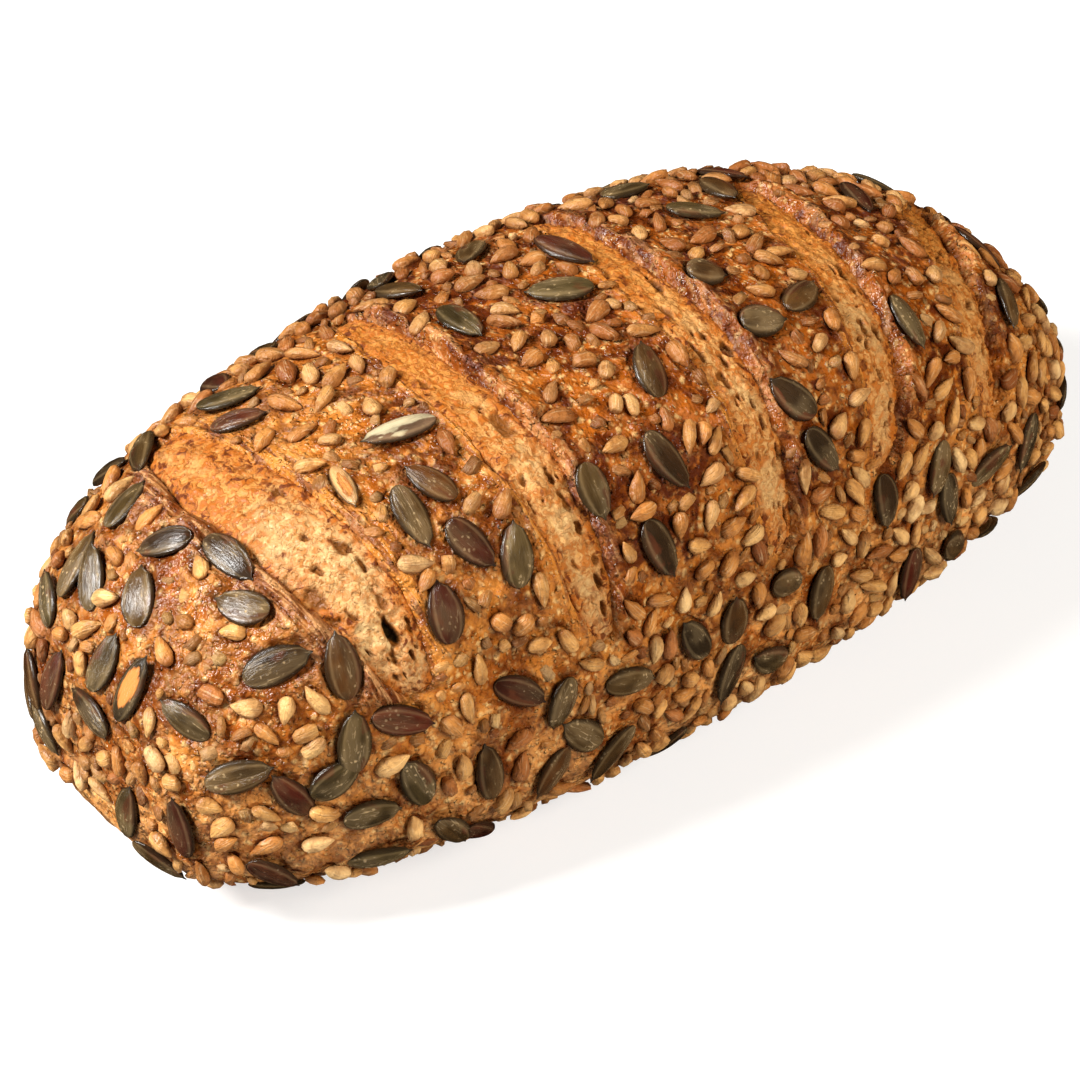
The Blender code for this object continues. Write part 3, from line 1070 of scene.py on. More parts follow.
@dataclass(frozen=True)
class CrustColours:
    """Colours of the crust, from the palest to the darkest, and the sizes and depths of its patterns."""

    flour: Colour = (0.86, 0.550, 0.210)
    pale: Colour = (0.88, 0.425, 0.130)
    golden: Colour = (0.66, 0.250, 0.038)
    amber: Colour = (0.34, 0.080, 0.006)
    mahogany: Colour = (0.090, 0.015, 0.002)
    strand: Colour = (0.58, 0.290, 0.115)
    lip: Colour = (0.22, 0.064, 0.018)
    broad_size: float = 30 * MM
    swirl_size: float = 11 * MM
    mottle_size: float = 4.2 * MM
    pebble_size: float = 2.0 * MM
    grain_size: float = 1.1 * MM
    fleck_area: float = 8 * MM
    clump_area: float = 15 * MM
    clump_size: float = 3 * MM
    blister_size: float = 3.8 * MM
    blister_depth: float = 2.2 * MM
    grain_depth: float = 0.22 * MM
    strand_depth: float = 1.1 * MM
    dimple_size: float = 0.9 * MM
    dimple_depth: float = 0.5 * MM

    def finish(self, effects: BakedEffects) -> Finish:
        """Make the glazed crust: golden and amber swirls, a dark net, pale flecks, dark torn edges.

        Args:
            effects: The node groups that the finishes share.

        Returns:
            The finish, wired up.
        """
        finish = Finish("baked_crust", effects, Specular_IOR_Level=0.5)
        wiring = finish.wiring
        place = wiring.place()
        lip, brow, beside = (wiring.carried(name) for name in ("lip", "brow", "beside"))
        x, _, height = wiring.add("SeparateXYZ", {0: place}).outputs
        hot_end = wiring.graded(x, -90 * MM, -5 * MM, 0.1, 1.0)
        heat = wiring.times(wiring.graded(height, 40 * MM, 92 * MM), hot_end)
        broad = finish.blush(place, self.broad_size, 0.52, 0.14)
        swirls = finish.blush(place, self.swirl_size, 0.47, 0.12)
        mottle = finish.blush(place, self.mottle_size, 0.46, 0.14)
        pebbles = finish.pebbles(place, self.pebble_size, 1.3)
        grains = finish.pebbles(place, self.grain_size, 1.0)

        browned = wiring.most(wiring.eased(broad, 0.4, 1.0), heat)
        swirled = wiring.most(wiring.times(swirls, browned), wiring.times(heat, 0.85))
        mottled = wiring.times(mottle, wiring.eased(heat, 0.4, 0.9))
        less_low = wiring.graded(height, 8 * MM, 50 * MM, 0.3, 1.0)
        net = wiring.times(pebbles["Rim"], wiring.eased(swirls, 0.2, 0.75))
        flecked = finish.blush(place, self.fleck_area, 0.58, 0.10)
        picked = wiring.times(wiring.graded(pebbles["Chance"], 0.30, 0.50), flecked)
        flecks = wiring.times(pebbles["Middle"], picked)
        specks = wiring.times(grains["Middle"], wiring.graded(grains["Chance"], 0.6, 0.7))
        pale_spots = wiring.most(flecks, wiring.times(specks, 0.65))
        clumped = finish.blush(place, self.clump_area, 0.5, 0.06)
        clumps = wiring.times(clumped, finish.blush(place, self.clump_size, 0.58, 0.12))
        deepened = wiring.times(clumps, wiring.graded(heat, 0.0, 0.6, 0.6, 1.0))
        # Round the seeds the crust turns mahogany: partly crust baked darker there, partly painted shade
        # where the seeds meet it.
        seed_bake_and_shade = wiring.times(beside, wiring.eased(mottle, 0.3, 0.95))
        streaks = slash_streaks(wiring)
        streaked = wiring.graded(streaks, 0.42, 0.58)
        pulled = wiring.mixed(streaked, self.lip, self.golden)
        # The grooves between the torn strands are darkened to mahogany: painted shade in the creases.
        strands_with_painted_groove_shade = wiring.mixed(wiring.graded(streaks, 0.40, 0.50), self.mahogany, self.lip)
        rope = wiring.mixed(wiring.graded(streaks, 0.50, 0.60), strands_with_painted_groove_shade, self.strand)
        roped = wiring.times(lip, wiring.eased(swirls, 0.75, 0.95))

        colour = wiring.coated(
            wiring.mixed(wiring.graded(height, 6 * MM, 60 * MM, 0.9, 0.0), self.golden, self.pale),
            (wiring.times(swirled, less_low), self.amber),
            (wiring.times(mottled, less_low), self.amber),
            (net, self.amber),
            (wiring.times(pale_spots, 0.85), self.flour),
            (deepened, self.mahogany),
            (seed_bake_and_shade, self.mahogany),
            (wiring.times(brow, 0.7), pulled),
            (roped, rope),
        )
        finish.coloured(colour, wiring.eased(wiring.most(mottle, swirls), 0.55, 0.22))
        finish.raised(
            (finish.blisters(place, self.blister_size), self.blister_depth),
            (wiring.maths("ADD", grains["Middle"], pale_spots), self.grain_depth),
            (wiring.times(streaks, wiring.most(lip, brow)), self.strand_depth),
            (wiring.noise(place, self.dimple_size, 2.0), self.dimple_depth),
        )
        return finish


@dataclass(frozen=True)
class CrumbColours:
    """Colours of the torn crumb, and the sizes and depths of its patterns."""

    cream: Colour = (0.56, 0.350, 0.135)
    # lace is the pale colour put on the walls of the crumb's cells as a painted highlight.
    lace: Colour = (0.80, 0.580, 0.290)
    gold: Colour = (0.58, 0.222, 0.036)
    toast: Colour = (0.42, 0.115, 0.012)
    burnt: Colour = (0.15, 0.032, 0.005)
    shade: Colour = (0.45, 0.190, 0.045)
    # hollow and the pit colour are painted shade inside the crumb's pores and its deepest holes.
    hollow: Colour = (0.20, 0.066, 0.010)
    pit_shade: Colour = (0.030, 0.019, 0.006)
    patch_size: float = 9 * MM
    fleck_size: float = 3.0 * MM
    stipple_size: float = 1.5 * MM
    spark_size: float = 2.2 * MM
    large_lace: float = 2.6 * MM
    small_lace: float = 1.2 * MM
    blister_size: float = 3.2 * MM
    blister_depth: float = 0.9 * MM
    lace_depth: float = 0.35 * MM
    strand_depth: float = 0.25 * MM
    stipple_depth: float = 0.2 * MM

    def finish(self, effects: BakedEffects) -> Finish:
        """Make the crumb: cream and lacy where it tore open widest, toasted and stippled at its edges.

        Args:
            effects: The node groups that the finishes share.

        Returns:
            The finish, wired up.
        """
        finish = Finish("torn_crumb", effects, Specular_IOR_Level=0.3)
        wiring = finish.wiring
        place = wiring.place()
        names = ("paleness", "toasted", "lacy", "pore")
        pale, toasted, lacy, pore = (wiring.carried(name) for name in names)
        patches = finish.blush(place, self.patch_size, 0.54, 0.08)
        flecks = finish.blush(place, self.fleck_size, 0.5, 0.09)
        stipple = finish.blush(place, self.stipple_size, 0.5, 0.09)
        sparks = finish.blush(place, self.spark_size, 0.44, 0.05)
        large = finish.pebbles(place, self.large_lace, 1.2)
        small = finish.pebbles(place, self.small_lace, 0.8)
        # The middles of the cells are sunk and painted with the shade colour as painted shade; their
        # walls get the lace colour as a painted highlight.
        lace = wiring.most(large["Middle"], wiring.times(small["Middle"], 0.4))
        lace = wiring.times(lace, lacy)
        lit_cell_walls = wiring.times(wiring.most(large["Rim"], small["Rim"]), lacy)
        edged = wiring.times(toasted, wiring.eased(flecks, 0.45, 1.0))
        browned = wiring.eased(wiring.most(patches, toasted), 0.35, 0.95)
        browned = wiring.times(browned, wiring.eased(lacy, 1.0, 0.6))
        burning = wiring.times(sparks, wiring.graded(toasted, 0.1, 0.6, 0.2, 1.0))

        colour = wiring.coated(
            wiring.mixed(pale, self.gold, self.cream),
            (wiring.times(patches, 0.6), self.gold),
            (wiring.times(lace, 0.8), self.shade),
            (wiring.times(lit_cell_walls, 0.4), self.lace),
            (edged, self.toast),
            (wiring.times(stipple, browned), self.toast),
            (burning, self.burnt),
            # Painted shade inside the pores, darkest in the deepest holes.
            (wiring.graded(pore, 0.0, 0.8), self.hollow),
            (wiring.carried("pit_shade"), self.pit_shade),
        )
        finish.coloured(colour, wiring.eased(flecks, 0.62, 0.42))
        finish.raised(
            (finish.blisters(place, self.blister_size), self.blister_depth),
            (lace, -self.lace_depth),
            (slash_streaks(wiring), self.strand_depth),
            (stipple, self.stipple_depth),
        )
        return finish


@dataclass(frozen=True)
class PumpkinFinish:
    """The leathery skin of the pumpkin seeds, with what shows under it where it is worn open.

    Its streaks are drawn out along the seed on its flat map, where a seed is 1 long.
    """

    under_skin: Colour = (0.64, 0.25, 0.062)
    worn: Colour = (0.34, 0.11, 0.022)
    dust: Colour = (0.60, 0.415, 0.200)
    rim: Colour = (0.020, 0.012, 0.006)
    wine: Colour = (0.105, 0.030, 0.012)
    nib: Colour = (0.030, 0.024, 0.018)
    speck_size: float = 0.9 * MM
    streak_depth: float = 0.26 * MM
    crease_depth: float = 1.0 * MM
    border_depth: float = 0.22 * MM

    def finish(self, effects: BakedEffects) -> Finish:
        """Make the skin: its own colour, blotched, scratched with dust, dark at the rim and the nib.

        Args:
            effects: The node groups that the finishes share.

        Returns:
            The finish, wired up.
        """
        finish = Finish("pumpkin_skin", effects, Specular_IOR_Level=0.55)
        wiring = finish.wiring
        flat, place = wiring.place("UV"), wiring.place()
        rim = wiring.carried("rim")
        stretched = wiring.add("Mapping", {"Vector": flat, "Scale": (2.2, 6.0, 1.0)}).outputs["Vector"]
        waves = {"Vector": stretched, "Scale": 2.2, "Detail": 5.0, "Roughness": 0.65, "Distortion": 0.8}
        streaks = wiring.add("TexNoise", waves).outputs["Fac"]
        strayed = wiring.graded(wiring.noise(flat, 0.4, 4.0), 0.3, 0.7, -0.45, 0.45)
        turned = wiring.graded(wiring.maths("ADD", wiring.carried("wine_side"), strayed), 0.35, 0.65)
        darker = wiring.graded(wiring.noise(flat, 0.5, 3.0), 0.35, 0.70, 0.0, 0.6)
        scratches = wiring.graded(streaks, 0.52, 0.74)
        specks = finish.pebbles(place, self.speck_size, 1.2)
        specked = wiring.times(specks["Middle"], wiring.graded(specks["Chance"], 0.78, 0.9))
        side_lit = wiring.graded(wiring.noise(flat, 0.7, 2.0), 0.42, 0.60)
        dusted = wiring.times(wiring.most(scratches, specked), side_lit)
        dusted = wiring.most(dusted, wiring.times(side_lit, 0.16))
        clean = wiring.eased(turned, 1.0, 0.35)
        dusty = wiring.times(wiring.times(dusted, wiring.carried("dust")), clean)
        margin = wiring.times(wiring.graded(rim, 0.15, 0.35), wiring.graded(rim, 0.4, 0.6, 1.0, 0.0))
        torn = wiring.graded(streaks, 0.3, 0.7, -0.12, 0.12)
        ragged = wiring.maths("ADD", wiring.carried("opened"), torn)
        under = wiring.mixed(wiring.graded(ragged, 0.55, 0.75), self.worn, self.under_skin)

        colour = wiring.coated(
            wiring.carried("skin", "Color"),
            (wiring.times(turned, 0.85), self.wine),
            (darker, self.rim),
            (dusty, self.dust),
            (wiring.times(margin, 0.10), self.dust),
            (wiring.graded(rim, 0.35, 0.85, 0.0, 0.85), self.rim),
            (wiring.carried("nib"), self.nib),
            (wiring.graded(ragged, 0.5, 0.54), under),
        )
        finish.coloured(colour, wiring.graded(dusty, 0.0, 0.6, 0.22, 0.6))
        finish.raised(
            (streaks, self.streak_depth),
            (wiring.carried("crease"), self.crease_depth),
            (wiring.graded(rim, 0.35, 0.7), self.border_depth),
        )
        return finish


@dataclass(frozen=True)
class KernelFinish:
    """The toasted sunflower kernels and their broken bits, ribbed along their length on the flat map."""

    toasted: Colour = (0.22, 0.064, 0.013)
    cream: Colour = (0.86, 0.62, 0.34)
    patch_size: float = 4.2 * MM
    rib_depth: float = 0.4 * MM
    dimple_size: float = 1.6 * MM
    dimple_depth: float = 0.75 * MM

    def finish(self, effects: BakedEffects) -> Finish:
        """Make the kernel: its own colour, finely ribbed along its length, toasted in patches.

        Args:
            effects: The node groups that the finishes share.

        Returns:
            The finish, wired up.
        """
        finish = Finish("sunflower_kernel", effects, Specular_IOR_Level=0.42)
        wiring = finish.wiring
        flat, place = wiring.place("UV"), wiring.place()
        stretched = wiring.add("Mapping", {"Vector": flat, "Scale": (1.2, 8.0, 1.0)}).outputs["Vector"]
        ribs = wiring.noise(stretched, 2 / 3, 3.0, 0.5)
        patches = finish.blush(place, self.patch_size, 0.46, 0.14)
        colour = wiring.coated(
            wiring.carried("skin", "Color"),
            (wiring.times(patches, 0.55), self.toasted),
            (wiring.graded(ribs, 0.52, 0.72, 0.0, 0.38), self.cream),
            # The scorched mark carries real scorching and, on the whole kernels, painted shade along
            # their sides.
            (wiring.times(wiring.carried("scorched_and_shaded"), 0.85), self.toasted),
        )
        finish.coloured(colour, wiring.eased(patches, 0.5, 0.36))
        finish.raised(
            (ribs, self.rib_depth), (wiring.noise(place, self.dimple_size, 2.0), self.dimple_depth)
        )
        return finish


# The pieces


def dress(piece: bpy.types.Object, finish: Finish) -> None:
    """Give a piece its finish, let it ride with the loaf and stand for the solid, and report it.

    Args:
        piece: The mesh object.
        finish: What it is dressed in.
    """
    finish.put_on(piece)
    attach(piece, BODY)
    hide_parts(NODE)
    log.info("%s: %d faces", piece.name, len(piece.data.polygons))


@dataclass
class Crust:
    """The glazed crust, with its lumps, the slashes' channels and lips, and a collar at each seed.

    A channel's wall starts overhang outside its edge and is down at foot inside it. Lengths that end in
    _size are those of the noise that a _height gives its strength.
    """

    form: LoafForm
    slashes: tuple[Slash, ...] = SLASHES
    rows: int = 430
    columns: int = 214
    slash_crowding: float = 1.7
    channel: float = 4.2 * MM
    overhang: float = 0.4 * MM
    foot: float = 1.0 * MM
    brow_height: float = 0.4 * MM
    wobble_size: float = 10 * MM
    strand_height: float = 0.5 * MM
    strand_size: float = 2.2 * MM
    strand_stretch: float = 0.12
    fray: float = 0.9 * MM
    fray_size: float = 4 * MM
    grain_height: float = 0.42 * MM
    grain_size: float = 8 * MM
    seed_depth: float = 6 * MM
    collar: float = 1.2
    collar_spread: float = 0.22
    noise: DoughNoise = field(default_factory=lambda: DoughNoise(9))

    def grid(self) -> tuple[Array, Array]:
        """Return x and the angle of each grid point, crowded at the slashes and sparse underneath.

        Returns:
            A column of x in metres and a row of angles.
        """
        sines = np.linspace(-1, 1, 2001)
        x = self.form.station(sines)
        weight = np.ones(len(sines))
        for slash in self.slashes:
            ends = (slash.far_x, slash.middle_x, slash.near_x)
            inside = (x > min(ends) - slash.width * 0.7) & (x < max(ends) + slash.width * 0.7)
            weight = np.where(inside, self.slash_crowding, weight)
        degrees = np.linspace(-180, 180, 1441)
        crown = 1 + 1.1 * smooth_step(degrees, -60, -35) * (1 - smooth_step(degrees, 75, 100))
        crown = crown - 0.45 * smooth_step(np.abs(degrees), 112, 135)
        return (
            self.form.station(crowded(weight, -1, 1, self.rows))[:, None],
            np.radians(crowded(crown, -180, 180, self.columns + 1)[:-1])[None, :],
        )

    def slash_relief(self, x: Array, angle: Array, points: Array) -> tuple[Array, Array, Array]:
        """Work out the channels and the lips of the slashes.

        A channel drops steeply at the ragged edge. Outside it the edge swells in a bell curve, tall on
        the lip's side, where it rises fast and slopes gently outwards, and low on the brow's.

        Args:
            x: Position along the loaf of each point.
            angle: Angle round the loaf of each point.
            points: The points themselves.

        Returns:
            The height to add at each point, how close it lies to a lip and to a brow, 0 to 1 each, and
            its place across and along that slash.
        """
        height = np.zeros(points.shape[:-1])
        torn = np.zeros(points.shape)
        place = np.zeros(points.shape)
        for slash in self.slashes:
            progress = slash.progress(angle)
            share = slash.swell(progress)
            offset = x - slash.middle(progress)
            reach = slash.width / 2 * share + slash.ragged(points, self.noise) * share
            outside = np.abs(offset) - reach
            on_lip = smooth_step(offset * slash.lip, -1 * MM, 1 * MM)
            open_here = smooth_step(share, 0.05, 0.5)
            floor = -self.channel * smooth_step(-outside, -self.overhang, self.foot)
            wobble = np.clip(0.95 + 0.9 * self.noise.rough(points, self.wobble_size, 3), 0.25, 1.7)
            crest = 0.36 * slash.lip_width
            lip_slope = slash.lip_width * np.where(outside < crest, 0.5, 1.4)
            lip = slash.lip_height * bell(outside, crest, lip_slope) * wobble
            brow = self.brow_height * bell(outside, 0.5 * slash.brow, 0.6 * slash.brow)
            along = progress * SLASH_LENGTH + 0 * offset
            strand_place = np.stack([offset, self.strand_stretch * along, 0 * offset], axis=-1)
            strands = self.strand_height * self.noise.at(strand_place, self.strand_size)
            frayed = outside + self.fray * self.noise.rough(points, self.fray_size, 2)
            lip_near = on_lip * bell(frayed, 0.25 * slash.lip_width, 0.6 * slash.lip_width)
            brow_near = (1 - on_lip) * bell(frayed, 0.1 * slash.brow, 0.7 * slash.brow)
            lip_shows = (0.15 + 0.85 * slash.paleness) * open_here
            lip_near = lip_shows * np.where(outside > 0, lip_near, on_lip)
            brow_near = open_here * np.where(outside > 0, brow_near, 1 - on_lip)
            edge = on_lip * lip + (1 - on_lip) * brow
            pulled = np.maximum(lip_near, brow_near)
            height += open_here * (floor + edge * (outside > -self.overhang)) + pulled * strands
            nearest = pulled > torn.max(axis=-1)
            torn[nearest] = np.stack([lip_near, brow_near, 0 * pulled], axis=-1)[nearest]
            place[nearest] = np.stack([offset, along, 0 * along], axis=-1)[nearest]
        return height, torn, place

    def bedded(self, points: Array, x: Array, seeds: list[Lying], relief: Array) -> tuple[Array, Array]:
        """Bed the seeds in the relief, so that no seed drowns in it and each has a collar of crust.

        With r the distance from the seed's middle in units of its outline, relief that stands up is
        pressed flat up to r = 1, less and less up to 1.25, and a collar swells up in a bell curve about
        r = 1.2.

        Args:
            points: Points of the bare crust.
            x: Position along the loaf of each row of points.
            seeds: The seeds that lie there.
            relief: The height of the relief at each point.

        Returns:
            The height with the seeds bedded in, and how close to a seed each point lies, 0 to 1.
        """
        ring = np.zeros(points.shape[:-1])
        beside = np.zeros(points.shape[:-1])
        height = relief.copy()
        for lying in seeds:
            for number in range(len(lying.length)):
                reach = lying.length[number] * 0.9
                rows = np.flatnonzero(np.abs(x[:, 0] - lying.middle[number, 0]) < reach)
                if not len(rows):
                    continue
                band = slice(rows[0], rows[-1] + 1)
                away = points[band] - lying.middle[number]
                forth = away @ lying.forward[number] / (lying.length[number] * 0.5)
                sideways = away @ lying.side[number] / (lying.width[number] * 0.5)
                close = np.abs(away @ lying.up[number]) < self.seed_depth
                r = np.where(close, np.hypot(forth, sideways), 9.0)
                pressed = 1 - smooth_step(r, 1.0, 1.25)
                height[band] -= pressed * np.maximum(height[band], 0.0)
                shape = 0.15 * bell(r, self.collar, self.collar_spread) - 0.1 * (r < 0.85)
                swelling = lying.thickness[number] * shape
                ring[band] = np.where(np.abs(swelling) > np.abs(ring[band]), swelling, ring[band])
                beside[band] = np.maximum(beside[band], 1 - smooth_step(r, 1.0, 1.7))
        return height + ring, beside

    def build(self, seeds: list[Lying]) -> bpy.types.Object:
        """Build the crust as one closed mesh.

        Args:
            seeds: The seeds that lie on it.

        Returns:
            The new piece.
        """
        x, angle = self.grid()
        bare = self.form.crust(x, angle)
        normal = self.form.normal(*np.broadcast_arrays(x, angle))
        off_base = smooth_step(bare[..., 2], 0.5 * MM, 6 * MM)
        grain = self.grain_height * self.noise.rough(bare, self.grain_size, 3, 0.62)
        relief, torn, place = self.slash_relief(x, angle, bare)
        bedded, beside = self.bedded(bare, x, seeds, off_base * grain + relief)
        height = self.form.lumps(bare) + bedded
        points = bare + normal * height[..., None]
        points[..., 2] = np.maximum(points[..., 2], 0.0)
        points[0] = points[0].mean(axis=0)
        points[-1] = points[-1].mean(axis=0)
        every, quads, triangles = capped(points)
        # beside says how close each point lies to a seed; the finish darkens the crust there, partly as
        # baked colour and partly as painted shade.
        values = {"lip": torn[..., 0], "brow": torn[..., 1], "beside": beside}
        carried = {key: for_points(grid) for key, grid in values.items()}
        return mesh_piece("crust", every, quads, triangles, carried, {"slash_place": for_points(place)})


@dataclass
class Crumb:
    """The torn crumb that fills one slash: a sheet across the channel whose rims dive under the crust.

    overlap is how far the sheet reaches, in half widths of the slash, and spare what is added to them.
    Its rims drop by dive and its ends by end_drop, so that no edge of it shows.
    """

    form: LoafForm
    slash: Slash
    random_seed: int
    along: int = 250
    across: int = 68
    overlap: float = 1.18
    spare: float = 0.6 * MM
    dive: float = 2.6 * MM
    end_drop: float = 1.4 * MM
    strand_height: float = 0.7 * MM
    strand_size: float = 6 * MM
    sponge_depth: float = 0.35 * MM
    sponge_size: float = 2.2 * MM
    pore_fray: float = 0.8 * MM

    def pores(self, progress: Array, side: Array) -> Array:
        """Return how deep each point lies in a pore, in metres.

        Pores are bowls of a ragged outline at random places, more of them towards the near end, and the
        slash's own holes. The deepest bowl counts where two meet.

        Args:
            progress: How far along the slash, 0 to 1.
            side: How far across it, from -1 at one edge to 1 at the other.

        Returns:
            The depths.
        """
        draw = np.random.default_rng(self.random_seed)
        half = self.slash.width / 2
        place = np.stack(np.broadcast_arrays(progress * SLASH_LENGTH, side * half, 0.0), axis=-1)
        stray = self.pore_fray * DoughNoise(self.random_seed + 7).rough(place, 2.6 * MM, 2)
        depth = np.zeros(stray.shape)
        ruled = [
            (
                draw.beta(3.8, 1.7),
                draw.uniform(-0.75, 0.75),
                draw.gamma(2.2, 0.22) * MM + 0.3 * MM,
                draw.uniform(1.0, 2.8),
                draw.uniform(0.8, 1.7) * MM,
            )
            for _ in range(self.slash.pores)
        ]
        for along, across, radius, stretch, drop in [*ruled, *self.slash.holes]:
            forth = (place[..., 0] - along * SLASH_LENGTH) / stretch
            away = np.hypot(forth, place[..., 1] - across * half)
            frayed = away + stray * min(radius / MM, 1.0)
            depth = np.maximum(depth, drop * (1 - smooth_step(frayed / radius, 0.35, 1.1)))
        return depth

    def build(self) -> bpy.types.Object:
        """Build the crumb of this slash.

        Across the slash the sheet is a low arch, -sink + bulge * (1 - q^2), leaning down towards the lip,
        and roughened by noise, as strands of torn dough are.

        Returns:
            The new piece.
        """
        slash = self.slash
        noise = DoughNoise(self.random_seed + 100)
        progress = np.linspace(0.004, 0.996, self.along)[:, None]
        side = np.linspace(-self.overlap, self.overlap, self.across)[None, :]
        share = slash.swell(progress)
        angle = slash.angle(progress) + 0 * side
        x = slash.middle(progress) + side * (slash.width / 2 * share + self.spare)
        bare = self.form.crust(x, angle)
        normal = self.form.normal(x, angle)
        arch = -slash.sink + slash.bulge * (1 - side**2) - slash.lean * side * slash.lip
        dive = self.dive * smooth_step(np.abs(side), 0.94, self.overlap)
        strands = self.strand_height * noise.rough(bare, self.strand_size, 4, 0.6)
        sponge = self.sponge_depth * np.abs(noise.rough(bare, self.sponge_size, 2, 0.5))
        pore = self.pores(progress, side)
        height = self.form.lumps(bare) + share * arch - dive + strands - sponge - pore
        height -= self.end_drop * (1 - smooth_step(share, 0.1, 0.55))
        points = bare + normal * height[..., None]
        fray = 0.35 * noise.rough(bare, self.strand_size, 3, 0.6)
        lip_rim = smooth_step(side * slash.lip + fray, 0.35, 0.95)
        near_half = smooth_step(progress, 0.25, 0.6)
        brow_rim = smooth_step(-side * slash.lip + fray, -0.1 + 0.5 * near_half, 0.95)
        brow_rim = brow_rim * (0.35 + 0.6 * slash.paleness)
        ridge = smooth_step(strands / MM, 0.1, 0.6)
        end = 1 - smooth_step(share, 0.35, 0.85)
        toasted = np.clip(0.8 * np.maximum(lip_rim, brow_rim) + 0.3 * ridge + 0.5 * end, 0.0, 1.0)
        pale = slash.paleness * (0.5 + 0.5 * (1 - side**2)) * (0.5 + 0.5 * near_half)
        pale = pale + 0.4 * near_half * (1 - lip_rim)
        off_rims = 1 - smooth_step(np.abs(side) + fray, 0.6, 1.0)
        lacy = slash.paleness * smooth_step(progress, 0.38, 0.62) * off_rims
        values = {
            "toasted": toasted.ravel(),
            # pore and pit mark where the finish paints shade inside the holes.
            "pore": 0.8 * smooth_step(pore, 0.0, 1.3 * MM).ravel(),
            "pit_shade": smooth_step(pore, 1.8 * MM, 2.4 * MM).ravel(),
            "paleness": np.clip(pale + 0 * pore, 0.0, 1.0).ravel(),
            "lacy": (lacy + 0 * pore).ravel(),
        }
        place = np.broadcast_arrays(side * slash.width / 2, progress * SLASH_LENGTH, 0.0)
        carried = {"slash_place": np.stack(place, axis=-1).reshape(-1, 3)}
        quads = grid_quads(self.along, self.across, False)
        return mesh_piece(f"crumb_{slash.name}", points.reshape(-1, 3), quads, None, values, carried)


def lens_grid(rings: int, sides: int) -> tuple[Array, Array]:
    """Return v, -1 to 1 from butt to tip and crowded towards both, and the turn round a lens."""
    v = -np.cos(np.linspace(0, math.pi, rings))[:, None]
    return v, np.linspace(0, 2 * math.pi, sides, endpoint=False)[None, :]


def lens_rise(turn: Array, outline: Array, keenness: float, thinning: float) -> Array:
    """Return how far a lens rises off its middle plane: sin(turn)^keenness * outline^thinning, signed."""
    return np.sign(np.sin(turn)) * np.abs(np.sin(turn)) ** keenness * outline**thinning


def varied(sizes: Iterable[Number], shares: tuple[float, ...], draws: Array) -> list[Array]:
    """Return lengths, widths and thicknesses that stray by their shares, from draws of -1 to 1."""
    return [size * (1 + share * row) for size, share, row in zip(sizes, shares, draws)]


def flat_places(v: Array, across: Array, draw: np.random.Generator, count: int) -> Array:
    """Return each seed's place on the flat map: its own outline, moved by random whole numbers."""
    outline = np.stack(np.broadcast_arrays(v / 2 + 0.5, across / 2 + 0.5), axis=-1)
    return outline[None] + draw.uniform(0, FLAT_TILES, (count, 1, 1, 2)).round()


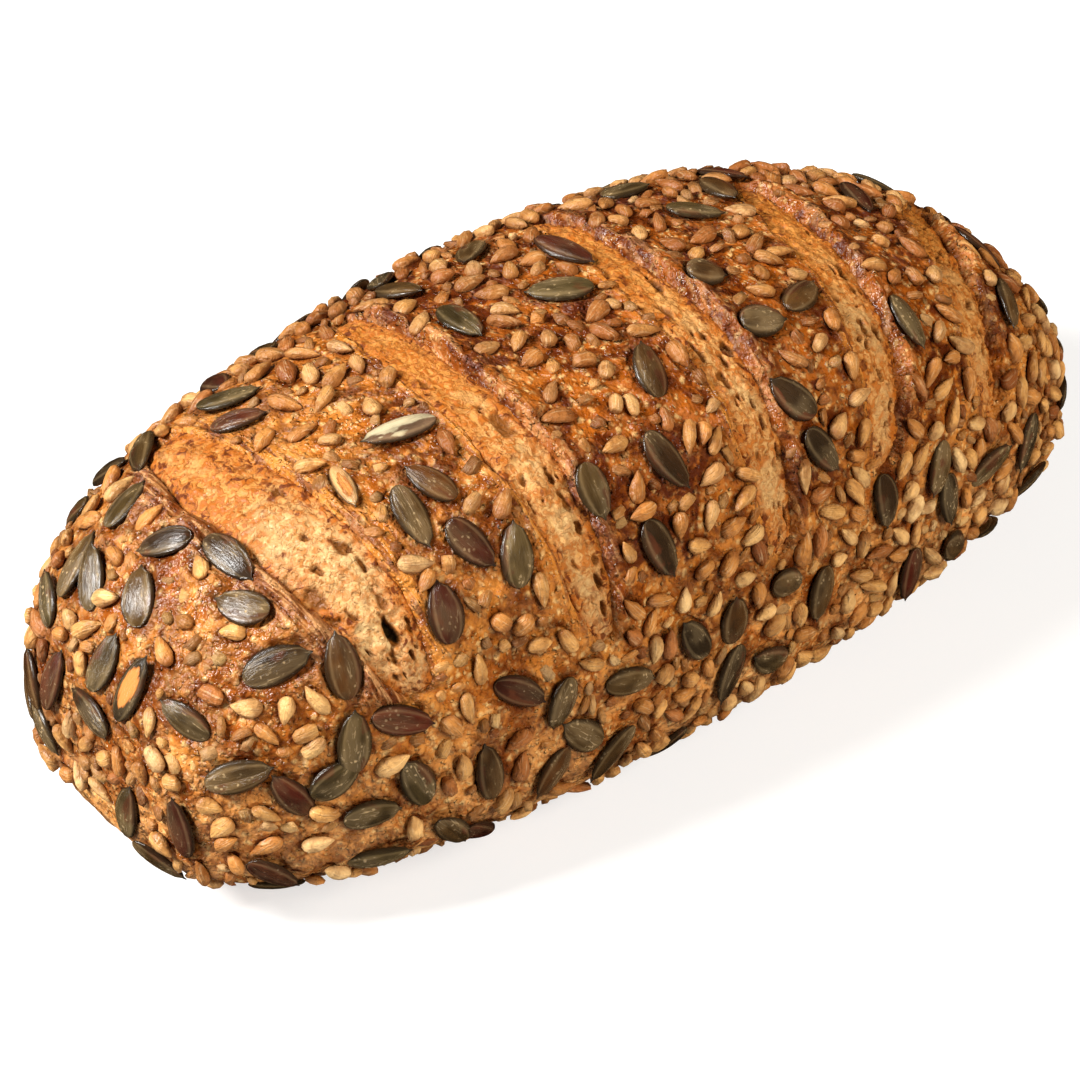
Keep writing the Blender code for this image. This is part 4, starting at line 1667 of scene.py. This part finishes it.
@dataclass
class PumpkinSeeds:
    """The pumpkin seeds: flat lenses with a round butt and a pointed tip.

    shares says how often the rule picks each common skin, and warmth how red, green and blue stray.
    vary is the share by which length, width and thickness stray.
    """

    bed: SeedBed
    rings: int = 13
    sides: int = 12
    vary: tuple[float, ...] = (0.12, 0.08, 0.12)
    looks_seed: int = 3
    tilt_seed: int = 12
    shape_seed: int = 17
    common: tuple[Skin, ...] = (Skin.OLIVE, Skin.WINE, Skin.DARK, Skin.BROWN, Skin.ROUND)
    shares: tuple[float, ...] = (0.42, 0.2, 0.18, 0.14, 0.06)
    warmth: tuple[float, ...] = (0.25, -0.1, -0.3)

    def settle(self) -> None:
        """Work out where every seed lies and which skin it has.

        The seeds that catch the eye come first, and the rest follow the rule and draw their skins.
        """
        places: list[Place] = []
        skins: list[Skin] = []
        for skin, some in PLACED_SEEDS.items():
            skins += [skin] * len(some)
            for x, degrees, heading in some:
                places.append((x * MM, math.radians(degrees), math.radians(heading)))
        ruled = self.bed.scattered(PUMPKIN_SCATTER, places, self.bed.off_crown)
        draw = np.random.default_rng(self.looks_seed)
        picks = draw.choice(len(self.common), size=len(ruled), p=self.shares)
        self.places = places + ruled
        self.skins = skins + [self.common[pick] for pick in picks]
        looks = [SKIN_LOOKS[skin] for skin in self.skins]
        usual = np.array([(look.length, look.width, look.thickness) for look in looks]).T
        sizes = varied(usual, self.vary, draw.uniform(-1, 1, (3, len(looks))))
        self.lying = Lying(
            self.bed.form, self.places, *sizes, lift=0.32, random_seed=self.tilt_seed, most_tilt=0.12
        )

    def build(self) -> bpy.types.Object:
        """Build all pumpkin seeds as one piece.

        Along a seed v runs from -1 to 1. Its half width is (1 + v)^0.5 * (0.87 - v)^0.6, which rounds the
        butt, with a nib at the tip, and round it the upper side is a lens, sin(a)^1.3, with a keen rim.

        Returns:
            The new piece.
        """
        lying = self.lying
        count = len(self.places)
        draw = np.random.default_rng(self.shape_seed)
        v, turn = lens_grid(self.rings, self.sides)
        outline = 1.04 * (1 + v) ** 0.5 * np.maximum(0.87 - v, 0) ** 0.6
        outline += 0.14 * smooth_step(v, 0.5, 0.8) * np.maximum(1 - v, 0) ** 0.3
        upward = lens_rise(turn, outline, 1.3, 0.8)
        along = np.broadcast_to(v, upward.shape).ravel()[None, :]
        bend = draw.uniform(-0.25, 0.45, count)[:, None]
        skew = draw.uniform(-0.10, 0.10, count)[:, None]
        across = (outline * np.cos(turn)).ravel()[None, :] + skew * (1 - along**2)
        arched = upward.ravel()[None, :] - bend * along**2
        points = lying.laid_out(along + np.zeros((count, 1)), across, arched)
        points = points.reshape(count, self.rings, self.sides, 3)
        crease = draw.uniform(-1, 1, count)[:, None, None]
        two_tone = draw.uniform(-0.9, 0.9, count)[:, None, None]
        two_tone[[skin is Skin.PALE for skin in self.skins]] = -1.0
        opened = np.array([SKIN_LOOKS[skin].opened for skin in self.skins])[:, None, None]
        within = 1 - smooth_step(np.hypot(v / 0.72, np.cos(turn) * outline / 0.62), 0.55, 1.25)
        upper = np.sin(turn) > 0.1
        carried = {
            "rim": np.abs(np.cos(turn))[None] ** 3,
            "crease": np.maximum(crease, 0) * bell(np.cos(turn), 0, 0.25) * (1 - v**2) * -1,
            "opened": opened * within * upper,
            "nib": smooth_step(v, 0.80, 0.95)[None],
            "wine_side": 0.05 - two_tone * np.cos(turn),
            "dust": np.array([SKIN_LOOKS[skin].dust for skin in self.skins])[:, None, None],
        }
        tint = draw.uniform(0.65, 1.25, (count, 1))
        tint = tint * (1 + draw.uniform(-0.5, 0.5, (count, 1)) * np.array(self.warmth))
        skin = np.array([SKIN_LOOKS[skin].colour for skin in self.skins]) * tint
        flat_map = flat_places(v, np.cos(turn) * outline, draw, count)
        return lens_piece("pumpkin_seeds", points, carried, skin, flat_map)


def lens_piece(
    name: str, points: Array, carried: dict[str, Array], skin: Array, flat_map: Array
) -> bpy.types.Object:
    """Make one piece of many closed lenses.

    Args:
        name: The piece's name.
        points: Points by seed, ring and side, whose first and last rings have shrunk to the two ends.
        carried: Numbers by seed, ring and side, by attribute name.
        skin: One colour per seed.
        flat_map: The place on the flat map by seed, ring and side.

    Returns:
        The new piece.
    """
    count, rings, sides = points.shape[:3]
    every, quads, triangles = capped(points[0])
    size = len(every)

    def flat(values: Array) -> Array:
        """Flatten values by seed, ring and side in the order of capped().

        Args:
            values: Values that fit the seeds' rings and sides, with their parts last.

        Returns:
            One row for each point.
        """
        grid = np.broadcast_to(values, (*points.shape[:3], values.shape[-1]))
        body = grid[:, 1:-1].reshape(count, (rings - 2) * sides, -1)
        return np.concatenate([body, grid[:, 0, :1], grid[:, -1, :1]], axis=1).reshape(count * size, -1)

    shift = (np.arange(count) * size)[:, None, None]
    return mesh_piece(
        name,
        flat(points),
        (quads[None] + shift).reshape(-1, 4),
        (triangles[None] + shift).reshape(-1, 3),
        {key: flat(grid[..., None])[:, 0] for key, grid in carried.items()},
        {"skin": np.repeat(skin, size, axis=0)},
        flat(flat_map),
    )


@dataclass
class SunflowerKernels:
    """The sunflower kernels, and the broken bits among them.

    usual gives a kernel's length, width and thickness and vary the share by which they stray, and for a
    bit bit_usual and bit_vary do. tones are the colours of both and shares how often each is picked.
    bit_profile gives a bit's rings, each with its place along the bit and its half width.
    """

    bed: SeedBed
    rings: int = 9
    sides: int = 8
    usual: tuple[float, ...] = (7.3 * MM, 4.0 * MM, 2.9 * MM)
    vary: tuple[float, ...] = (0.22, 0.18, 0.2)
    size_seed: int = 41
    tilt_seed: int = 24
    shape_seed: int = 43
    tones: tuple[Colour, ...] = (
        (0.70, 0.355, 0.100),
        (0.76, 0.440, 0.155),
        (0.58, 0.238, 0.052),
        (0.82, 0.520, 0.215),
        (0.42, 0.145, 0.034),
        (0.25, 0.072, 0.015),
    )
    shares: tuple[float, ...] = (0.36, 0.22, 0.24, 0.05, 0.09, 0.04)
    browned: Colour = (0.30, 0.098, 0.020)
    broken_share: float = 0.3
    bit_profile: tuple[tuple[float, float], ...] = ((-1, 0), (-0.8, 0.85), (0.1, 1), (0.75, 0.7), (1, 0))
    bit_sides: int = 6
    bit_usual: tuple[float, ...] = (3.7 * MM, 2.8 * MM, 1.9 * MM)
    bit_vary: tuple[float, ...] = (0.38, 0.25, 0.3)
    bit_size_seed: int = 42
    bit_tilt_seed: int = 49
    bit_shape_seed: int = 53

    def settle(self, pumpkins: PumpkinSeeds) -> None:
        """Work out where the kernels and bits lie: the largest first, as in the solid, then more.

        Args:
            pumpkins: The pumpkin seeds, settled, which the kernels keep clear of.
        """
        bed, beside = self.bed, pumpkins.lying
        large = bed.scattered(LARGE_KERNEL_SCATTER, pumpkins.places, bed.anywhere)
        more = bed.packed(KERNEL_SCATTER, [beside, self.lay(large)], bed.kernel_density)
        self.kernels = self.lay(large + more)
        bits = bed.packed(BIT_SCATTER, [beside, self.kernels], bed.bit_density)
        draws = np.random.default_rng(self.bit_size_seed).uniform(-1, 1, (3, len(bits)))
        sizes = varied(self.bit_usual, self.bit_vary, draws)
        self.bits = Lying(bed.form, bits, *sizes, lift=0.2, random_seed=self.bit_tilt_seed, most_tilt=0.4)

    def lay(self, places: list[Place]) -> Lying:
        """Lay kernels of varied sizes at some places.

        Args:
            places: x, angle and turn of each kernel.

        Returns:
            The kernels as they lie.
        """
        draws = np.random.default_rng(self.size_seed).uniform(-1, 1, (len(places), 3)).T
        sizes = varied(self.usual, self.vary, draws)
        return Lying(self.bed.form, places, *sizes, lift=0.3, random_seed=self.tilt_seed, most_tilt=0.22)

    def colours(self, lying: Lying, draw: np.random.Generator) -> Array:
        """Draw one tone for each kernel, browner on the crown, where the oven was hottest.

        Args:
            lying: The kernels as they lie.
            draw: The source of the random draws.

        Returns:
            One colour for each kernel.
        """
        count = len(lying.places)
        picks = draw.choice(len(self.tones), size=count, p=self.shares)
        tones = np.array(self.tones)[picks] * draw.uniform(0.85, 1.15, (count, 1))
        x, _, height = lying.middle.T
        heat = smooth_step(height, 55 * MM, 92 * MM) * smooth_step(x, -105 * MM, -40 * MM)
        browned = (0.9 * heat * draw.uniform(0.3, 1.0, count))[:, None]
        return tones * (1 - browned) + np.array(self.browned) * browned

    def build(self) -> bpy.types.Object:
        """Build the whole kernels as one piece.

        The half width along v is (1 + v)^0.5 * (1 - v)^0.95, a drop with its point forward, and the
        cross-section is a plump lens. Some kernels are broken: cut off square at a random v.

        Returns:
            The new piece.
        """
        lying = self.kernels
        count = len(lying.length)
        draw = np.random.default_rng(self.shape_seed)
        v, turn = lens_grid(self.rings, self.sides)
        outline = (1 + v) ** 0.5 * np.maximum(1 - v, 0) ** 0.95 / 1.09
        upward = lens_rise(turn, outline, 0.9, 0.75).ravel()[None, :]
        along = np.broadcast_to(v, (self.rings, self.sides)).ravel()[None, :]
        stray = draw.uniform(-0.09, 0.09, (3, count, self.rings * self.sides))
        skew = draw.uniform(-0.2, 0.2, count)[:, None]
        blunt = draw.uniform(-0.05, 0.09, count)[:, None]
        broken = draw.uniform(0.25, 0.75, count)[:, None]
        broken = broken * (draw.uniform(size=(count, 1)) < self.broken_share)
        across = (outline * np.cos(turn)).ravel()[None, :] * (1 + stray[0]) + skew * (1 - along**2)
        upward = upward * (1 + stray[1]) + draw.uniform(-0.25, 0.12, count)[:, None] * along**2
        cut = 1 - np.maximum(blunt, broken) + 0.15 * broken * across
        points = lying.laid_out(np.minimum(along + 0.3 * stray[2], cut), across, upward)
        points = points.reshape(count, self.rings, self.sides, 3)
        flat_map = flat_places(v, np.cos(turn) * outline, draw, count)
        scorched_and_shaded = draw.uniform(0, 1, (count, 1, 1))
        scorched_and_shaded = scorched_and_shaded * smooth_step(v * draw.choice([-1, 1], (count, 1, 1)), 0.1, 0.9)
        # Besides the scorched tips, each kernel's sides are darkened towards its outline: painted shade.
        carried = {"scorched_and_shaded": np.maximum(scorched_and_shaded, 0.7 * np.abs(np.cos(turn)) ** 4)}
        return lens_piece("sunflower_kernels", points, carried, self.colours(lying, draw), flat_map)

    def build_bits(self) -> bpy.types.Object:
        """Build the broken bits as one piece: squarish lumps whose every corner strays at random.

        Returns:
            The new piece.
        """
        lying = self.bits
        draw = np.random.default_rng(self.bit_shape_seed)
        count, rings, sides = len(lying.length), len(self.bit_profile), self.bit_sides
        v, outline = np.array(self.bit_profile).T[:, :, None]
        _, turn = lens_grid(rings, sides)
        stray = draw.uniform(0.72, 1.28, (3, count, rings, sides))
        along = (v + 0 * turn)[None] * stray[0]
        across = (outline * np.cos(turn))[None] * stray[1]
        upward = (outline * np.sin(turn))[None] * stray[2]
        points = lying.laid_out(*(part.reshape(count, -1) for part in (along, across, upward)))
        points = points.reshape(count, rings, sides, 3)
        flat_map = flat_places(v, outline * np.cos(turn), draw, count)
        carried = {"scorched_and_shaded": draw.uniform(0, 0.6, (count, 1, 1))}
        tones = self.colours(lying, draw) * draw.uniform(0.42, 1.1, (count, 1))
        return lens_piece("kernel_bits", points, carried, tones, flat_map)


# The studio


def face(thing: bpy.types.Object, target: Place) -> None:
    """Turn a light or a camera towards a place, and link it to the scene.

    Args:
        thing: The light or camera, at its own place.
        target: What it looks at.
    """
    aim = Vector(target) - thing.location
    thing.rotation_euler = aim.to_track_quat("-Z", "Y").to_euler()
    bpy.context.scene.collection.objects.link(thing)


@dataclass(frozen=True)
class SoftLight:
    """A square soft light that faces the loaf, and shines back from glossy seeds or doesn't."""

    name: str
    place: Place
    size: float
    power: float
    colour: Colour
    shines: bool
    target: Place = (0, 0, 0.04)

    def hang(self) -> None:
        """Hang the light."""
        lamp = bpy.data.lights.new(self.name, "AREA")
        lamp.shape = "SQUARE"
        lamp.size = self.size
        lamp.energy = self.power
        lamp.color = self.colour
        light = bpy.data.objects.new(self.name, lamp)
        light.location = self.place
        light.visible_glossy = self.shines
        face(light, self.target)


@dataclass(frozen=True)
class Studio:
    """A pale floor, soft light from the upper left and from behind, and the photograph's view."""

    camera_place: Place = (-0.5194, -0.6046, 0.6492)
    camera_target: Place = (-0.0113, -0.0022, 0.0335)
    lens: float = 143.33
    sensor_width: float = 36.0
    lights: tuple[SoftLight, ...] = (
        SoftLight("key_light", (-1.02, 0.38, 1.0), 0.40, 42.0, (1.0, 0.985, 0.955), shines=True),
        SoftLight("fill_light", (0.5, -1.3, 0.9), 1.0, 29.0, (1.0, 0.94, 0.86), shines=False),
    )
    surround: Colour = (1.0, 0.93, 0.84)
    surround_strength: float = 0.11
    floor_colour: Colour = (0.50, 0.50, 0.50)
    floor_glow: float = 0.60
    floor_size: float = 6.0
    floor_gap: float = 0.2 * MM

    def lay_floor(self) -> None:
        """Lay the plain floor that the loaf stands on. It glows where the camera sees it."""
        corners = self.floor_size / 2 * np.array([(-1, -1, 0), (1, -1, 0), (1, 1, 0), (-1, 1, 0)])
        corners[:, 2] = -self.floor_gap
        floor = mesh_piece("floor", corners, np.array([[0, 1, 2, 3]]))
        material = bpy.data.materials.new("plain_floor")
        material.use_nodes = True
        shader = material.node_tree.nodes["Principled BSDF"].inputs
        shader["Base Color"].default_value = rgba(self.floor_colour)
        shader["Roughness"].default_value = 0.9
        shader["Emission Color"].default_value = (1.0, 1.0, 1.0, 1.0)
        wiring = Wiring(material.node_tree)
        seen = wiring.add("LightPath", {}).outputs["Is Camera Ray"]
        wiring.tree.links.new(wiring.times(seen, self.floor_glow), shader["Emission Strength"])
        floor.data.materials.append(material)
        floor.visible_glossy = False

    def light(self) -> None:
        """Light the loaf softly, with a pale surrounding."""
        for light in self.lights:
            light.hang()
        world = bpy.data.worlds.new("pale_surround")
        world.use_nodes = True
        background = world.node_tree.nodes["Background"].inputs
        background["Color"].default_value = rgba(self.surround)
        background["Strength"].default_value = self.surround_strength
        world.cycles_visibility.glossy = False
        bpy.context.scene.world = world
        bpy.context.scene.view_settings.view_transform = "Standard"

    def stand_camera(self) -> None:
        """Stand the camera where the photograph was taken from."""
        camera = bpy.data.cameras.new("camera")
        camera.lens = self.lens
        camera.sensor_width = self.sensor_width
        stand = bpy.data.objects.new("camera", camera)
        stand.location = self.camera_place
        face(stand, self.camera_target)
        bpy.context.scene.camera = stand


def main() -> None:
    """Build the studio and the loaf's pieces in order, and report each piece."""
    logging.basicConfig(level=logging.INFO, format="%(name)s: %(message)s")
    studio = Studio()
    studio.lay_floor()
    studio.light()
    studio.stand_camera()

    form = LoafForm()
    bed = SeedBed(form)
    effects = BakedEffects()
    pumpkins = PumpkinSeeds(bed)
    pumpkins.settle()
    kernels = SunflowerKernels(bed)
    kernels.settle(pumpkins)

    dress(Crust(form).build([pumpkins.lying, kernels.kernels]), CrustColours().finish(effects))
    crumb_finish = CrumbColours().finish(effects)
    for number, slash in enumerate(SLASHES):
        dress(Crumb(form, slash, 60 + number).build(), crumb_finish)
    dress(pumpkins.build(), PumpkinFinish().finish(effects))
    kernel_finish = KernelFinish().finish(effects)
    dress(kernels.build(), kernel_finish)
    dress(kernels.build_bits(), kernel_finish)


if __name__ == "__main__":
    main()
